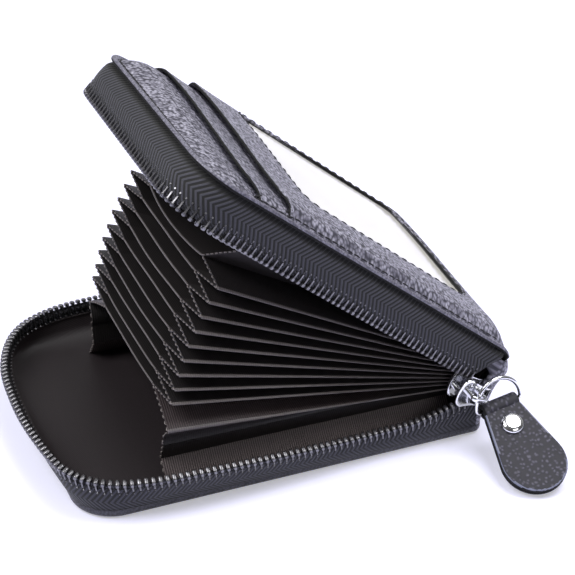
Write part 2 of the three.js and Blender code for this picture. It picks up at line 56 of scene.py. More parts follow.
wallet = {  # mm and degrees, as in the part's source
    "length": 110, "width": 75, "mouthRadius": 11, "spineRadius": 3, "hingeX": 55, "hingeZ": 13,
    "openAngle": 38,
}
halfLength = wallet["length"] / 2
halfWidth = wallet["width"] / 2
hinge = np.array([wallet["hingeX"], 0, wallet["hingeZ"]])
openAngle = math.radians(wallet["openAngle"])


# Small tools

def toLinear(hexColour):  # sRGB hex to the linear colour a shader takes
    parts = [int(hexColour[i:i + 2], 16) / 255 for i in (1, 3, 5)]
    return [c / 12.92 if c <= 0.04045 else ((c + 0.055) / 1.055) ** 2.4 for c in parts] + [1.0]


def setInputs(tree, node, inputs):  # each input takes a value, a socket or a node's first output
    for name, value in inputs.items():
        value = value.outputs[0] if isinstance(value, bpy.types.Node) else value
        if isinstance(value, bpy.types.NodeSocket):
            tree.links.new(value, node.inputs[name])
        else:
            node.inputs[name].default_value = value


def addNode(tree, kind, inputs=None, **settings):
    node = tree.nodes.new("ShaderNode" + kind)
    for name, value in settings.items():
        setattr(node, name, value)
    setInputs(tree, node, inputs or {})
    return node


def newFinish(name, values):
    finish = bpy.data.materials.new(name)
    finish.use_nodes = True
    tree = finish.node_tree
    tree.nodes.clear()
    shader = addNode(tree, "BsdfPrincipled", values)
    addNode(tree, "OutputMaterial", {"Surface": shader})
    return finish, tree, shader


def easeStep(low, high, x):
    t = np.clip((np.asarray(x, float) - low) / (high - low), 0, 1)
    return t * t * (3 - 2 * t)


def unit(v):
    return v / np.maximum(np.linalg.norm(v, axis=-1, keepdims=True), 1e-12)


def turnedOpen(points, share=1.0):  # from shut to the rest pose, about the hinge line
    p = np.asarray(points, float)
    cos, sin = np.cos(openAngle * share), np.sin(openAngle * share)
    x, z = p[..., 0] - hinge[0], p[..., 2] - hinge[2]
    return np.stack([hinge[0] + x * cos + z * sin, p[..., 1], hinge[2] - x * sin + z * cos], -1)


def gridOf(*parts):  # arrays that broadcast together, stacked as coordinates
    return np.stack(np.broadcast_arrays(*parts), -1)


def atHeight(places, z):
    return np.column_stack([places, np.broadcast_to(z, len(places))])


def alongLine(line):  # how far along a line each of its points lies
    steps = np.linalg.norm(np.diff(line, axis=0), axis=-1)
    return np.concatenate([np.zeros_like(steps[:1]), np.cumsum(steps, 0)])


def evenly(line, count):  # points at equal steps along a line
    run = alongLine(line)
    at = np.linspace(0, run[-1], count)
    return np.stack([np.interp(at, run, line[:, k]) for k in range(line.shape[1])], 1)


def roundedOff(toEdge, radius, least):  # share of the full thickness near a rounded edge
    return np.sqrt(np.clip(1 - (1 - np.clip(toEdge / radius, 0, 1)) ** 2, least, 1))


def fullTurn(sides):
    return np.linspace(0, 2 * np.pi, sides, endpoint=False)


def newShape():
    return {"points": [], "uvs": [], "faces": [], "kinds": []}


def addPoints(shape, points, uvs=None):
    start = len(shape["points"])
    flat = np.asarray(points, float).reshape(-1, 3)
    shape["points"].extend(flat)
    shape["uvs"].extend(np.zeros((len(flat), 2)) if uvs is None else np.asarray(uvs, float).reshape(-1, 2))
    return start


def addFaces(shape, faces, kind):
    shape["faces"].extend(faces)
    shape["kinds"].extend([kind] * len(faces))


def addRings(shape, rings, uvs=None, kind=0, closed=False, caps=True):  # a skin over rings of points
    rings = np.asarray(rings)
    rows, columns = rings.shape[:2]
    start = addPoints(shape, rings, uvs)
    at = lambda r, c: start + (r % rows) * columns + c % columns
    faces = [(at(r, c), at(r, c + 1), at(r + 1, c + 1), at(r + 1, c))
             for r in range(rows if closed else rows - 1) for c in range(columns)]
    if caps and not closed:
        first, last = (tuple(at(r, c) for c in range(columns)) for r in (0, rows - 1))
        faces += [first[::-1], last]
    addFaces(shape, faces, kind)


def gridNormals(points):
    return unit(np.cross(np.gradient(points, axis=0), np.gradient(points, axis=1)))


def addSheet(shape, middle, half, uvs, normals=None, kindOf=lambda r, c: 0, ends=(True, True)):
    # A thin sheet round a middle grid, closed at its sides and at the ends asked for
    rows, columns = middle.shape[:2]
    normals = gridNormals(middle) if normals is None else normals
    half = np.broadcast_to(np.asarray(half, float), (rows, columns))[..., None]
    front = addPoints(shape, middle + normals * half, uvs)
    back = addPoints(shape, middle - normals * half, uvs)
    face = lambda *spots: tuple(start + r * columns + c for start, r, c in spots)
    for r in range(rows - 1):
        for c in range(columns - 1):
            addFaces(shape, [
                face((front, r, c), (front, r, c + 1), (front, r + 1, c + 1), (front, r + 1, c)),
                face((back, r, c), (back, r + 1, c), (back, r + 1, c + 1), (back, r, c + 1)),
            ], kindOf(r, c))
    for r in range(rows - 1):
        for c in (0, columns - 1):
            addFaces(shape, [face((front, r, c), (front, r + 1, c), (back, r + 1, c), (back, r, c))],
                     kindOf(r, min(c, columns - 2)))
    for c in range(columns - 1):
        for r in [0] * ends[0] + [rows - 1] * ends[1]:
            addFaces(shape, [face((front, r, c), (front, r, c + 1), (back, r, c + 1), (back, r, c))],
                     kindOf(min(r, rows - 2), c))


def addTube(shape, line, radius, sides, side, kind=0, closed=False):  # a round bar along a line
    if closed:
        along = unit(np.roll(line, -1, 0) - np.roll(line, 1, 0))
    else:
        along = unit(np.gradient(line, axis=0))
    across = unit(np.cross(along, np.broadcast_to(side, line.shape)))
    up = np.cross(across, along)
    turn = fullTurn(sides)[:, None]
    radius = np.broadcast_to(radius, len(line))[:, None, None]
    rings = line[:, None] + (across[:, None] * np.cos(turn) + up[:, None] * np.sin(turn)) * radius
    addRings(shape, rings, gridOf(alongLine(line)[:, None], turn.T), kind, closed)


def addStitch(shape, ends, up, radius, kind=0):  # one thread of a seam, sunk at both ends
    share = np.array([0.0, 0.12, 0.35, 0.65, 0.88, 1.0])[:, None]
    rise = np.array([-0.9, 0.1, 0.45, 0.45, 0.1, -0.9])[:, None] * radius
    line = ends[0] + (ends[1] - ends[0]) * share + up * rise
    addTube(shape, line, radius * np.array([0.55, 0.95, 1, 1, 0.95, 0.55]), 6, up, kind)


def addLathe(shape, profile, centre, axis, across, sides):
    turn = fullTurn(sides)[:, None]
    ring = np.cos(turn) * across + np.sin(turn) * np.cross(axis, across)
    addRings(shape, [centre + ring * r + axis * h for r, h in profile])


def placePiece(name, shape, finishes, where, slot, *nodes, sharp=38):
    mesh = bpy.data.meshes.new(name)
    mesh.from_pydata((np.array(shape["points"]) * 0.001).tolist(), [], shape["faces"])
    for finish in finishes:
        mesh.materials.append(finish)
    mesh.polygons.foreach_set("material_index", shape["kinds"])
    layer = mesh.uv_layers.new(name="mm")
    corners = np.zeros(len(mesh.loops), int)
    mesh.loops.foreach_get("vertex_index", corners)
    layer.data.foreach_set("uv", np.array(shape["uvs"])[corners].ravel())
    work = bmesh.new()
    work.from_mesh(mesh)
    bmesh.ops.remove_doubles(work, verts=work.verts, dist=2e-6)
    bmesh.ops.dissolve_degenerate(work, edges=work.edges, dist=1e-6)
    bmesh.ops.recalc_face_normals(work, faces=work.faces)
    work.to_mesh(mesh)
    work.free()
    mesh.polygons.foreach_set("use_smooth", [True] * len(mesh.polygons))
    mesh.set_sharp_from_angle(angle=math.radians(sharp))
    piece = bpy.data.objects.new(name, mesh)
    bpy.context.scene.collection.objects.link(piece)
    if isinstance(where, str):  # a body, or the two ends of a bend between the base and the lid
        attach(piece, where)
    else:
        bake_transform(piece)
    if nodes:
        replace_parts(piece, *nodes)
    return piece


# Camera, light and floor

studio = {
    "cameraAt": (-135.96, -319.46, 247.18),
    "right": (0.9157, -0.3997, 0.0418),
    "up": (0.1763, 0.4930, 0.8520),
    "lens": 98.4,
    "sensor": 36,
    "floor": "#d2d2f0",
    "floorFibre": "#d8d8f2",
    "floorGlow": 0.36,  # what the camera and reflections see on top of the floor's own tint
    "darkSide": 0.10,  # the studio is dim behind the camera and bright beyond the wallet
    "brightSide": 0.42,
    "skyBlend": (-0.7, 0.6),
}
lamps = {  # place, aim and size in mm, power in watts
    "keySoftbox": {"at": (235, -70, 660), "aim": (40, -30, 10), "size": 440, "power": 4.3},
    "leftSoftbox": {"at": (-460, 40, 640), "aim": (-10, 0, 50), "size": 420, "power": 4.2},
    "frontSoftbox": {"at": (120, -620, 360), "aim": (0, 0, 20), "size": 380, "power": 0.8},
}


def standing(name, data, spot, right, back):  # a camera or lamp that faces away from its back direction
    holder = bpy.data.objects.new(name, data)
    bpy.context.scene.collection.objects.link(holder)
    turn = np.eye(4)
    turn[:3] = np.column_stack([right, np.cross(back, right), back, np.array(spot) * 0.001])
    holder.matrix_world = Matrix(turn.tolist())
    return holder


lens = bpy.data.cameras.new("camera")
lens.lens, lens.sensor_width = studio["lens"], studio["sensor"]
lens.clip_start, lens.clip_end = 0.01, 20
right = unit(np.array(studio["right"]))
back = unit(np.cross(right, studio["up"]))
bpy.context.scene.camera = standing("camera", lens, studio["cameraAt"], right, back)
bpy.context.scene.view_settings.view_transform = "Standard"
for name, lamp in lamps.items():
    light = bpy.data.lights.new(name, "AREA")
    light.shape, light.size, light.energy = "SQUARE", lamp["size"] * 0.001, lamp["power"]
    back = unit(np.array(lamp["at"], float) - lamp["aim"])
    standing(name, light, lamp["at"], unit(np.cross((0, 0, 1), back)), back)

world = bpy.data.worlds.new("studio")
bpy.context.scene.world = world
world.use_nodes = True
tree = world.node_tree
tree.nodes.clear()
axes = addNode(tree, "SeparateXYZ", {0: addNode(tree, "TexCoord").outputs["Generated"]})
low, high = studio["skyBlend"]
level = addNode(tree, "MapRange", {
    "Value": axes.outputs[1], "From Min": low, "From Max": high,
    "To Min": studio["darkSide"], "To Max": studio["brightSide"],
}, interpolation_type="SMOOTHSTEP")
sky = addNode(tree, "Background", {"Color": toLinear("#ffffff"), "Strength": level})
addNode(tree, "OutputWorld", {"Surface": sky})

# Matt seamless paper: an even white that keeps the soft shadow
paper, tree, shader = newFinish("seamlessPaper", {"Roughness": 0.95, "Specular IOR Level": 0.0})
fibre = addNode(tree, "TexNoise", {"Scale": 9.0, "Detail": 2.0})
floorTones = {6: toLinear(studio["floor"]), 7: toLinear(studio["floorFibre"])}
tone = addNode(tree, "Mix", {0: fibre, **floorTones}, data_type="RGBA")
rays = addNode(tree, "LightPath").outputs
seen = rays["Is Camera Ray"]
for ray in ("Is Glossy Ray", "Is Transmission Ray"):
    seen = addNode(tree, "Math", {0: seen, 1: rays[ray]}, operation="MAXIMUM")
glow = addNode(tree, "Math", {0: seen, 1: studio["floorGlow"]}, operation="MULTIPLY")
setInputs(tree, shader, {
    "Base Color": tone.outputs[2], "Emission Color": toLinear("#ffffff"), "Emission Strength": glow,
})

floorMesh = bpy.data.meshes.new("paperFloor")
floorCorners = [(x, y, -0.0003) for x, y in ((-4, -4), (4, -4), (4, 4), (-4, 4))]
floorMesh.from_pydata(floorCorners, [], [(0, 1, 2, 3)])
floorMesh.materials.append(paper)
paperFloor = bpy.data.objects.new("paperFloor", floorMesh)
bpy.context.scene.collection.objects.link(paperFloor)
print("studio ready")


# Finishes. Pattern sizes are in mm.

def addPattern(tree, shader, look, share, height=None, worn=None):  # tone and relief that follow one pattern
    tones = {6: toLinear(look["dark"]), 7: toLinear(look["light"])}
    tone = addNode(tree, "Mix", {0: share, **tones}, data_type="RGBA").outputs[2]
    if worn:
        tone = addNode(tree, "VectorMath", {0: tone, "Scale": worn}, operation="SCALE")
    relief = addNode(tree, "Bump", {
        "Height": height or share, "Strength": look["strength"], "Distance": look["relief"] * 0.001,
    })
    setInputs(tree, shader, {"Base Color": tone, "Normal": relief})


def mottledFinish(name, look, values):  # one noise sets the tone, the relief and, on metal, the gloss
    finish, tree, shader = newFinish(name, values)
    spot = addNode(tree, "TexCoord").outputs["Object"]
    spot = addNode(tree, "VectorMath", {0: spot, "Scale": 1000.0}, operation="SCALE")
    size, detail = look["mottle"], look["detail"]
    mottle = addNode(tree, "TexNoise", {"Vector": spot, "Scale": 1 / size, "Detail": detail})
    addPattern(tree, shader, look, mottle)
    if "gloss" in look:
        dull, polished = look["gloss"] * 1.5, look["gloss"] * 0.6
        gloss = addNode(tree, "MapRange", {"Value": mottle, "To Min": dull, "To Max": polished})
        setInputs(tree, shader, {"Roughness": gloss})
    return finish


def wovenFinish(name, look, values):  # ribs of yarn, slanted both ways from the middle in a herringbone
    finish, tree, shader = newFinish(name, values)
    spot = addNode(tree, "UVMap", uv_map="mm")
    axes = addNode(tree, "SeparateXYZ", {0: spot})
    across = axes.outputs[1]
    if "middle" in look:
        across = addNode(tree, "Math", {0: across, 1: look["middle"]}, operation="SUBTRACT")
        across = addNode(tree, "Math", {0: across}, operation="ABSOLUTE")
    run = addNode(tree, "Math", {0: across, 1: look["slant"], 2: axes}, operation="MULTIPLY_ADD")
    run = addNode(tree, "Math", {0: run, 1: 2 * math.pi / look["rib"]}, operation="MULTIPLY")
    rib = addNode(tree, "Math", {0: run}, operation="SINE")
    low, high = look["ribLevels"]
    rib = addNode(tree, "MapRange", {"Value": rib, "From Min": low, "From Max": high},
                  interpolation_type=look["ribEase"])
    yarn = addNode(tree, "TexNoise", {"Vector": spot, "Scale": 1 / look["yarn"], "Detail": 2.0})
    height = addNode(tree, "Math", {0: yarn, 1: look["fuzz"], 2: rib}, operation="MULTIPLY_ADD")
    low, high = look["worn"]
    worn = addNode(tree, "MapRange", {"Value": yarn, "To Min": low, "To Max": high})
    if "seam" in look:  # painted shade, darker where it goes into the seam
        low, high = look["seam"]
        seam = addNode(tree, "MapRange", {
            "Value": axes.outputs[1], "From Min": low, "From Max": high, "To Min": 0.05,
        }, interpolation_type="SMOOTHSTEP")
        worn = addNode(tree, "Math", {0: worn, 1: seam}, operation="MULTIPLY")
    addPattern(tree, shader, look, rib, height, worn)
    return finish


# The case's tones are painted lighter than the dyed black, a painted sheen; the tab's copy is darker
caseGrain = {
    "colour": "#62606e", "sheenPatch": "#adabbb", "valley": "#2f2e39", "pebble": 0.95, "flank": 0.8,
    "wander": 2.6, "pore": 0.35, "patch": 2.2, "swell": 1.0, "relief": 0.14, "strength": 0.7,
    "roughness": 0.36, "stray": 0.9, "uneven": 0.95, "crown": 0.05, "patchLevels": (0.36, 0.64),
    "poreDepth": 0.3, "valleyDull": 0.18,
}
tabGrain = dict(caseGrain, pebble=1.35, flank=0.4, patch=5.0, swell=0.2, relief=0.2, roughness=0.5,
                colour="#43414f", sheenPatch="#565464", valley="#25242d")
rimHighlightGrain = dict(caseGrain, pebble=0.7, swell=0.5, relief=0.06, roughness=0.3,
                colour="#666472", sheenPatch="#858392", valley="#4d4c58")
# The lip's copy is painted darker, painted shade at the base's foot
lipShadeGrain = dict(rimHighlightGrain, colour="#3a3942", sheenPatch="#494852", valley="#26252c")


def walletLeather(name, look):
    # Cowhide, dyed black and embossed with a pebble: each soft grain catches its own spot of light. The tone
    # is painted as well: each pebble's top lighter, a painted highlight, and the valleys darker, painted
    # shade
    finish, tree, shader = newFinish(name, {"IOR": 1.5, "Specular IOR Level": 0.5})
    spot = addNode(tree, "UVMap", uv_map="mm")
    wander, pore, patch = (
        addNode(tree, "TexNoise", {"Vector": spot, "Scale": 1 / look[size], "Detail": detail})
        for size, detail in (("wander", 2.0), ("pore", 3.0), ("patch", 3.0))
    )
    stray = (look["pebble"] * look["stray"],) * 3
    moved = addNode(tree, "VectorMath", {0: wander.outputs["Color"], 1: stray, 2: spot},
                    operation="MULTIPLY_ADD")
    grain = addNode(tree, "TexVoronoi", {
        "Vector": moved, "Scale": 1 / look["pebble"], "Randomness": look["uneven"],
    }, voronoi_dimensions="2D", feature="F1")
    dome = addNode(tree, "MapRange", {
        "Value": grain.outputs["Distance"], "From Min": look["flank"], "From Max": look["crown"],
    }, interpolation_type="SMOOTHSTEP")
    low, high = look["patchLevels"]
    patch = addNode(tree, "MapRange", {"Value": patch, "From Min": low, "From Max": high})
    height = addNode(tree, "Math", {0: pore, 1: look["poreDepth"], 2: dome}, operation="MULTIPLY_ADD")
    height = addNode(tree, "Math", {0: patch, 1: look["swell"], 2: height}, operation="MULTIPLY_ADD")
    # painted sheen in random patches, then painted shade in the valleys and painted highlight on the pebbles'
    # tops
    colour, sheenPatch, valley = (toLinear(look[key]) for key in ("colour", "sheenPatch", "valley"))
    tone = addNode(tree, "Mix", {0: patch, 6: colour, 7: sheenPatch}, data_type="RGBA")
    tone = addNode(tree, "Mix", {0: dome, 6: valley, 7: tone.outputs[2]}, data_type="RGBA")
    shiny = look["roughness"]
    gloss = addNode(tree, "MapRange", {"Value": dome, "To Min": shiny + look["valleyDull"], "To Max": shiny})
    relief = addNode(tree, "Bump", {
        "Height": height, "Strength": look["strength"], "Distance": look["relief"] * 0.001,
    })
    setInputs(tree, shader, {"Base Color": tone.outputs[2], "Roughness": gloss, "Normal": relief})
    return finish


caseLeather = walletLeather("pebbledCowhide", caseGrain)
tabLeather = walletLeather("pebbledCowhideTab", tabGrain)
# Stretched over a rim or a lip, the pebble is pulled nearly smooth and shines more. The rolled rim's tone is
# also painted lighter, a painted highlight
rimHighlightLeather = walletLeather("pebbledCowhideRolledHighlight", rimHighlightGrain)
lipShadeLeather = walletLeather("pebbledCowhideLipShade", lipShadeGrain)

# Cut leather edge, dyed and burnished, with a soft shine; its light bluish tone is a painted highlight along
# the tab's rounded rim
edgeLook = {"light": "#8488a0", "dark": "#666879", "mottle": 0.7, "detail": 3.0, "strength": 0.3,
            "relief": 0.08}
burnishedEdgeHighlight = mottledFinish("burnishedEdgeHighlight", edgeLook, {"Roughness": 0.36})
# The card slots' cut edges are inked flat black with hardly any shine; kept this dark, the black also stands
# as painted shade in the gap under each mouth and under the lid's bead
inkedEdgeAndShade = mottledFinish("inkedEdgeAndShade", dict(edgeLook, light="#0b0b0d", dark="#050506"), {"Roughness": 0.9})

# Polyester zip tape, woven in herringbone: matt slanted ribs that meet in a V along the middle. Near its sewn
# edge the tone is painted darker, painted shade under the lid's bead and above the base's lip
tapeLook = {
    "light": "#3c3c45", "dark": "#060608", "rib": 1.3, "slant": 0.75, "middle": 4.6, "ribLevels": (-0.4, 0.6),
    "ribEase": "SMOOTHSTEP", "yarn": 0.35, "fuzz": 0.5, "worn": (0.75, 1.15), "seam": (1.0, 2.2),
    "strength": 0.8, "relief": 0.16,
}
herringbone = wovenFinish("herringboneTape", tapeLook,
                          {"Roughness": 0.78, "Sheen Weight": 0.12, "Sheen Roughness": 0.4})

# Nylon twill, calendered: fine ribs across the pocket with a dull silky sheen.
# The ribs are drawn at 0.6 mm; the real ones are about half that and would not show.
twillLook = {
    "light": "#1a1516", "dark": "#0d0a0a", "rib": 0.6, "slant": 0.0, "ribLevels": (-1.0, 1.0),
    "ribEase": "LINEAR", "yarn": 0.5, "fuzz": 0.6, "worn": (0.7, 1.3), "strength": 0.6, "relief": 0.07,
    "sheen": 0.10, "roughness": 0.6,
}


def pocketCloth(name, **changes):
    look = dict(twillLook, **changes)
    return wovenFinish(name, look, {
        "Roughness": look["roughness"], "Sheen Weight": look["sheen"], "Sheen Roughness": 0.35,
        "Sheen Tint": toLinear("#b9aeb0"),
    })


twill = pocketCloth("calenderedTwill")
# Hems and pressed folds: the same twill painted lighter, a painted highlight along each rounded edge
hemHighlight = pocketCloth("twillHemHighlight", light="#666060", dark="#565150", relief=0.03, sheen=0.15,
                        roughness=0.5)
# Lit copies of the twill: faces that catch the light are painted lighter, painted light; the fold's copy less
# so
litRibbedTwill = pocketCloth("litRibbedTwill", light="#6a5f60", dark="#241c1d", rib=0.58, relief=0.1)
halfLitRibbedTwill = pocketCloth("halfLitRibbedTwillFold", light="#4a3f40", dark="#1d1718", rib=0.58, relief=0.1)
liningSatin = pocketCloth("liningSatin", light="#261f22", dark="#1c1619", rib=0.55, slant=0.6, yarn=0.8,
                          relief=0.03, sheen=0.2, roughness=0.5)

# Plated zinc: a mirror-like skin whose gloss varies a little with the polish under it
brightLook = {"light": "#f1f1f3", "dark": "#d9dade", "mottle": 1.2, "detail": 3.0, "strength": 0.25,
              "relief": 0.02, "gloss": 0.13}
brightNickel = mottledFinish("polishedNickel", brightLook, {"Metallic": 1.0})
toothLook = dict(brightLook, light="#8e8d91", dark="#5b5a5e", mottle=0.8, relief=0.03, gloss=0.34)
darkNickel = mottledFinish("blackNickelTeeth", toothLook, {"Metallic": 1.0})

# Clear PVC film over white paper, calendered: pale, very smooth, faintly rippled
filmLook = {"light": "#dad8d2", "dark": "#ccc9c4", "mottle": 22.0, "detail": 1.0, "strength": 0.3,
            "relief": 0.12}
clearFilm = mottledFinish("calenderedFilm", filmLook, {"Roughness": 0.12, "IOR": 1.28})

# Grey board, pressed from pulp: matt and fibrous, hidden inside both covers
boardLook = {"light": "#786c61", "dark": "#5b5148", "mottle": 1.5, "detail": 5.0, "strength": 0.4,
             "relief": 0.08}
pulpBoard = mottledFinish("pressedPulpBoard", boardLook, {"Roughness": 0.9})

threadLook = {"light": "#201f26", "dark": "#0f0e12", "strand": 0.45, "strength": 0.5, "relief": 0.05,
              "roughness": 0.45}


def sewingThread(name, look):
    # Bonded polyester thread, twisted: small slanted strands with a waxy shine
    finish, tree, shader = newFinish(name, {"Roughness": look["roughness"]})
    axes = addNode(tree, "SeparateXYZ", {0: addNode(tree, "UVMap", uv_map="mm")})
    run = addNode(tree, "Math", {0: axes, 1: 2 * math.pi / look["strand"], 2: axes.outputs[1]},
                  operation="MULTIPLY_ADD")
    strand = addNode(tree, "Math", {0: run}, operation="SINE")
    addPattern(tree, shader, look, addNode(tree, "MapRange", {"Value": strand, "From Min": -1.0}))
    return finish


waxedThread = sewingThread("twistedThread", threadLook)
# The gussets' seams are sewn in a lighter grey
stitchThread = sewingThread("twistedThreadGrey", dict(threadLook, light="#857d7b", dark="#5a5453"))
print("finishes ready:", len(bpy.data.materials))


# Outlines

def cornerArc(cx, cy, radius, first, last, steps):
    turn = np.radians(np.linspace(first, last, steps))
    return np.array([cx, cy]) + np.stack([np.cos(turn), np.sin(turn)], 1) * radius


def coverOutline(step=1.2):  # the covers' edge, anticlockwise, with the direction out at each point
    x, y, r, s = halfLength, halfWidth, wallet["mouthRadius"], wallet["spineRadius"]
    arcs = [(x - s, s - y, s, -90, 0, 9), (x - s, y - s, s, 0, 90, 9),
            (r - x, y - r, r, 90, 180, 19), (r - x, r - y, r, 180, 270, 19)]
    edge, out = [], []
    for arc, nextArc in zip(arcs, arcs[1:] + arcs[:1]):
        points, ways = cornerArc(*arc), cornerArc(0, 0, 1, *arc[3:])
        gap = cornerArc(*nextArc)[0] - points[-1]
        count = int(np.linalg.norm(gap) / step)
        edge += [points, points[-1] + gap * (np.arange(1, count) / count)[:, None]]
        out += [ways, np.repeat(ways[-1:], count - 1, 0)]
    return np.concatenate(edge), np.concatenate(out)


def rimLine(outward, radius, endX, count):  # along three sides, from the slider side round the mouth
    mouthX, sideY = -halfLength - outward, halfWidth + outward
    near = cornerArc(mouthX + radius, radius - sideY, radius, 270, 180, 40)
    far = cornerArc(mouthX + radius, sideY - radius, radius, 180, 90, 40)
    return evenly(np.concatenate([[(endX, -sideY)], near, far, [(endX, sideY)]]), count)


def smoothCurve(knots, steps=24):  # centripetal curve through every knot
    knots = np.concatenate([[2 * knots[0] - knots[1]], knots, [2 * knots[-1] - knots[-2]]])
    line = []
    for p0, p1, p2, p3 in zip(knots, knots[1:], knots[2:], knots[3:]):
        d0, d1, d2 = (math.sqrt(np.linalg.norm(b - a)) for a, b in ((p0, p1), (p1, p2), (p2, p3)))
        m1 = ((p1 - p0) / d0 - (p2 - p0) / (d0 + d1) + (p2 - p1) / d1) * d1
        m2 = ((p2 - p1) / d1 - (p3 - p1) / (d1 + d2) + (p3 - p2) / d2) * d1
        t = np.linspace(0, 1, steps, endpoint=False)[:, None]
        line.append((2 * t**3 - 3 * t**2 + 1) * p1 + (t**3 - 2 * t**2 + t) * m1
                    + (3 * t**2 - 2 * t**3) * p2 + (t**3 - t**2) * m2)
    return np.concatenate(line + [knots[-2:-1]])


edgePoints, edgeOut = coverOutline()
ridgeEnds = (-24, 40)  # the covers are filled in toward this line along their middle
ridgeLine = np.column_stack([np.clip(edgePoints[:, 0], *ridgeEnds), np.zeros(len(edgePoints))])


def edgeRing(inset):
    return edgePoints - edgeOut * inset


def filledRow(inset, share):  # part of the way from the cover's middle to a ring inside its edge
    return ridgeLine + (edgeRing(inset) - ridgeLine) * share


# Covers: leather turned over the boards, with a rolled edge

lidLook = {  # inset and height pairs with the lid shut: round the three zipped sides, and over the spine
    "bead": [(6, 23.4), (1.6, 23.6), (0.9, 23.7), (0.42, 23.8), (0.12, 24.05), (0, 24.4), (0.08, 24.74),
             (0.34, 25.02), (0.8, 25.12), (1.2, 25.0), (1.45, 24.68), (1.66, 24.2)],
    "under": [(6, 23.4), (2.7, 23.3), (2.35, 22.2), (1.5, 21.0), (0.6, 20.75)],
    "overRoll": [0.02, 0.08, 0.22, 0.45, 0.8, 1.2, 1.62],
    "fill": [0.996, 0.986, 0.97, 0.95, 0.925, 0.895, 0.86, 0.82, 0.77, 0.7, 0.6, 0.48, 0.36, 0.24, 0.12, 0],
    "groove": 1.75, "grooveHeight": 24.3, "rise": 1.6, "span": 8.5, "puff": 2.25, "puffFrom": -34,
    "puffTo": 26, "roll": 6.5, "rollFoot": 21.0, "spineBlend": (0.3, 0.95),
}


def sideInset(x, y):  # how far a place lies in from the three zipped sides
    r = wallet["mouthRadius"]
    return r - np.hypot(np.maximum(r - halfLength - x, 0), np.maximum(np.abs(y) - halfWidth + r, 0))


def rollShare(x):
    s = np.clip((halfLength - np.asarray(x, float)) / lidLook["roll"], 0, 1)
    return 1 - np.sqrt(np.clip(1 - (1 - s) ** 2, 0, 1))


def lidTop(x, y):  # padded, fuller on its far side, sinking to the groove and rolling over at the spine
    t = np.clip((sideInset(x, y) - lidLook["groove"]) / lidLook["span"], 0, 1)
    rise = lidLook["rise"] + lidLook["puff"] * easeStep(lidLook["puffFrom"], lidLook["puffTo"], y)
    flat = lidLook["grooveHeight"] + rise * (1 - (1 - t) ** 2)
    return flat - (flat - lidLook["rollFoot"]) * rollShare(x)


def laidOut(rows):  # pattern positions of rows that turn over the rim, as if the leather lay flat
    return rows[:1, :, :2] + edgeOut * alongLine(rows)[..., None]


tuck, height = lidLook["bead"][0]
rows = [atHeight(filledRow(tuck, share), height) for share in (0, 0.5)]
toSpine = easeStep(*lidLook["spineBlend"], edgeOut[:, 0])
for k, (inset, height) in enumerate(lidLook["bead"]):
    low = height - (height - lidLook["rollFoot"]) * rollShare(edgePoints[:, 0]) * (1 - toSpine)
    if k < len(lidLook["under"]):
        spineInset, spineHeight = lidLook["under"][k]
    else:
        spineInset = lidLook["overRoll"][k - len(lidLook["under"])]
        spineHeight = lidTop(*edgeRing(spineInset).T)
    ring = edgeRing((inset + (spineInset - inset) * toSpine)[:, None])
    rows.append(atHeight(ring, low + (spineHeight - low) * toSpine))
for share in lidLook["fill"]:
    spot = filledRow(lidLook["groove"], share)
    rows.append(atHeight(spot, lidTop(*spot.T)))
rows = np.array(rows)
last = len(lidLook["bead"]) + 1  # the groove's row, where the rim ends
widest = last - 6
rimUvs = laidOut(rows[last::-1])[::-1]
shape = newShape()
rows3d = turnedOpen(rows)
addRings(shape, rows3d[:widest + 1], rimUvs[:widest + 1], 2, caps=False)  # turned under; its black is painted shadow under the bead
# the rolled bead, in the lighter copy of the leather: painted highlight
addRings(shape, rows3d[widest:last + 1], rimUvs[widest:], 1, caps=False)
addRings(shape, rows3d[last:], rows[last:, :, :2], caps=False)
placePiece("lidCoverLeather", shape, [caseLeather, rimHighlightLeather, inkedEdgeAndShade], "lid", "grain_leather",
           "lid_cover")

baseLook = {  # inset and height pairs: underneath, round the lip, and over the floor inside
    "under": [(6, 0.0), (1.4, 0.0)],
    "lip": [(0.6, 0.08), (0.18, 0.4), (0, 0.95), (0, 1.7), (0.06, 2.2), (0.22, 2.5), (0.42, 2.4), (0.5, 1.9)],
    "floor": [(0.9, 1.6), (2.6, 1.6), (6, 1.6)],
}
tuck, height = baseLook["under"][0]
rows = [atHeight(filledRow(tuck, share), height) for share in (0, 0.5)]
for inset, height in baseLook["under"] + baseLook["lip"] + baseLook["floor"]:
    rows.append(atHeight(edgeRing(inset), height))
tuck, height = baseLook["floor"][-1]
rows += [atHeight(filledRow(tuck, share), height) for share in (0.66, 0.33, 0)]
rows = np.array(rows)
shape = newShape()
addRings(shape, rows[:4], rows[:4, :, :2], caps=False)
# the lip, in the darker copy of the leather: painted shade
addRings(shape, rows[3:], laidOut(rows[3:]), 1, caps=False)
placePiece("baseCoverLeather", shape, [caseLeather, lipShadeLeather], "base", "grain_leather", "base_cover")

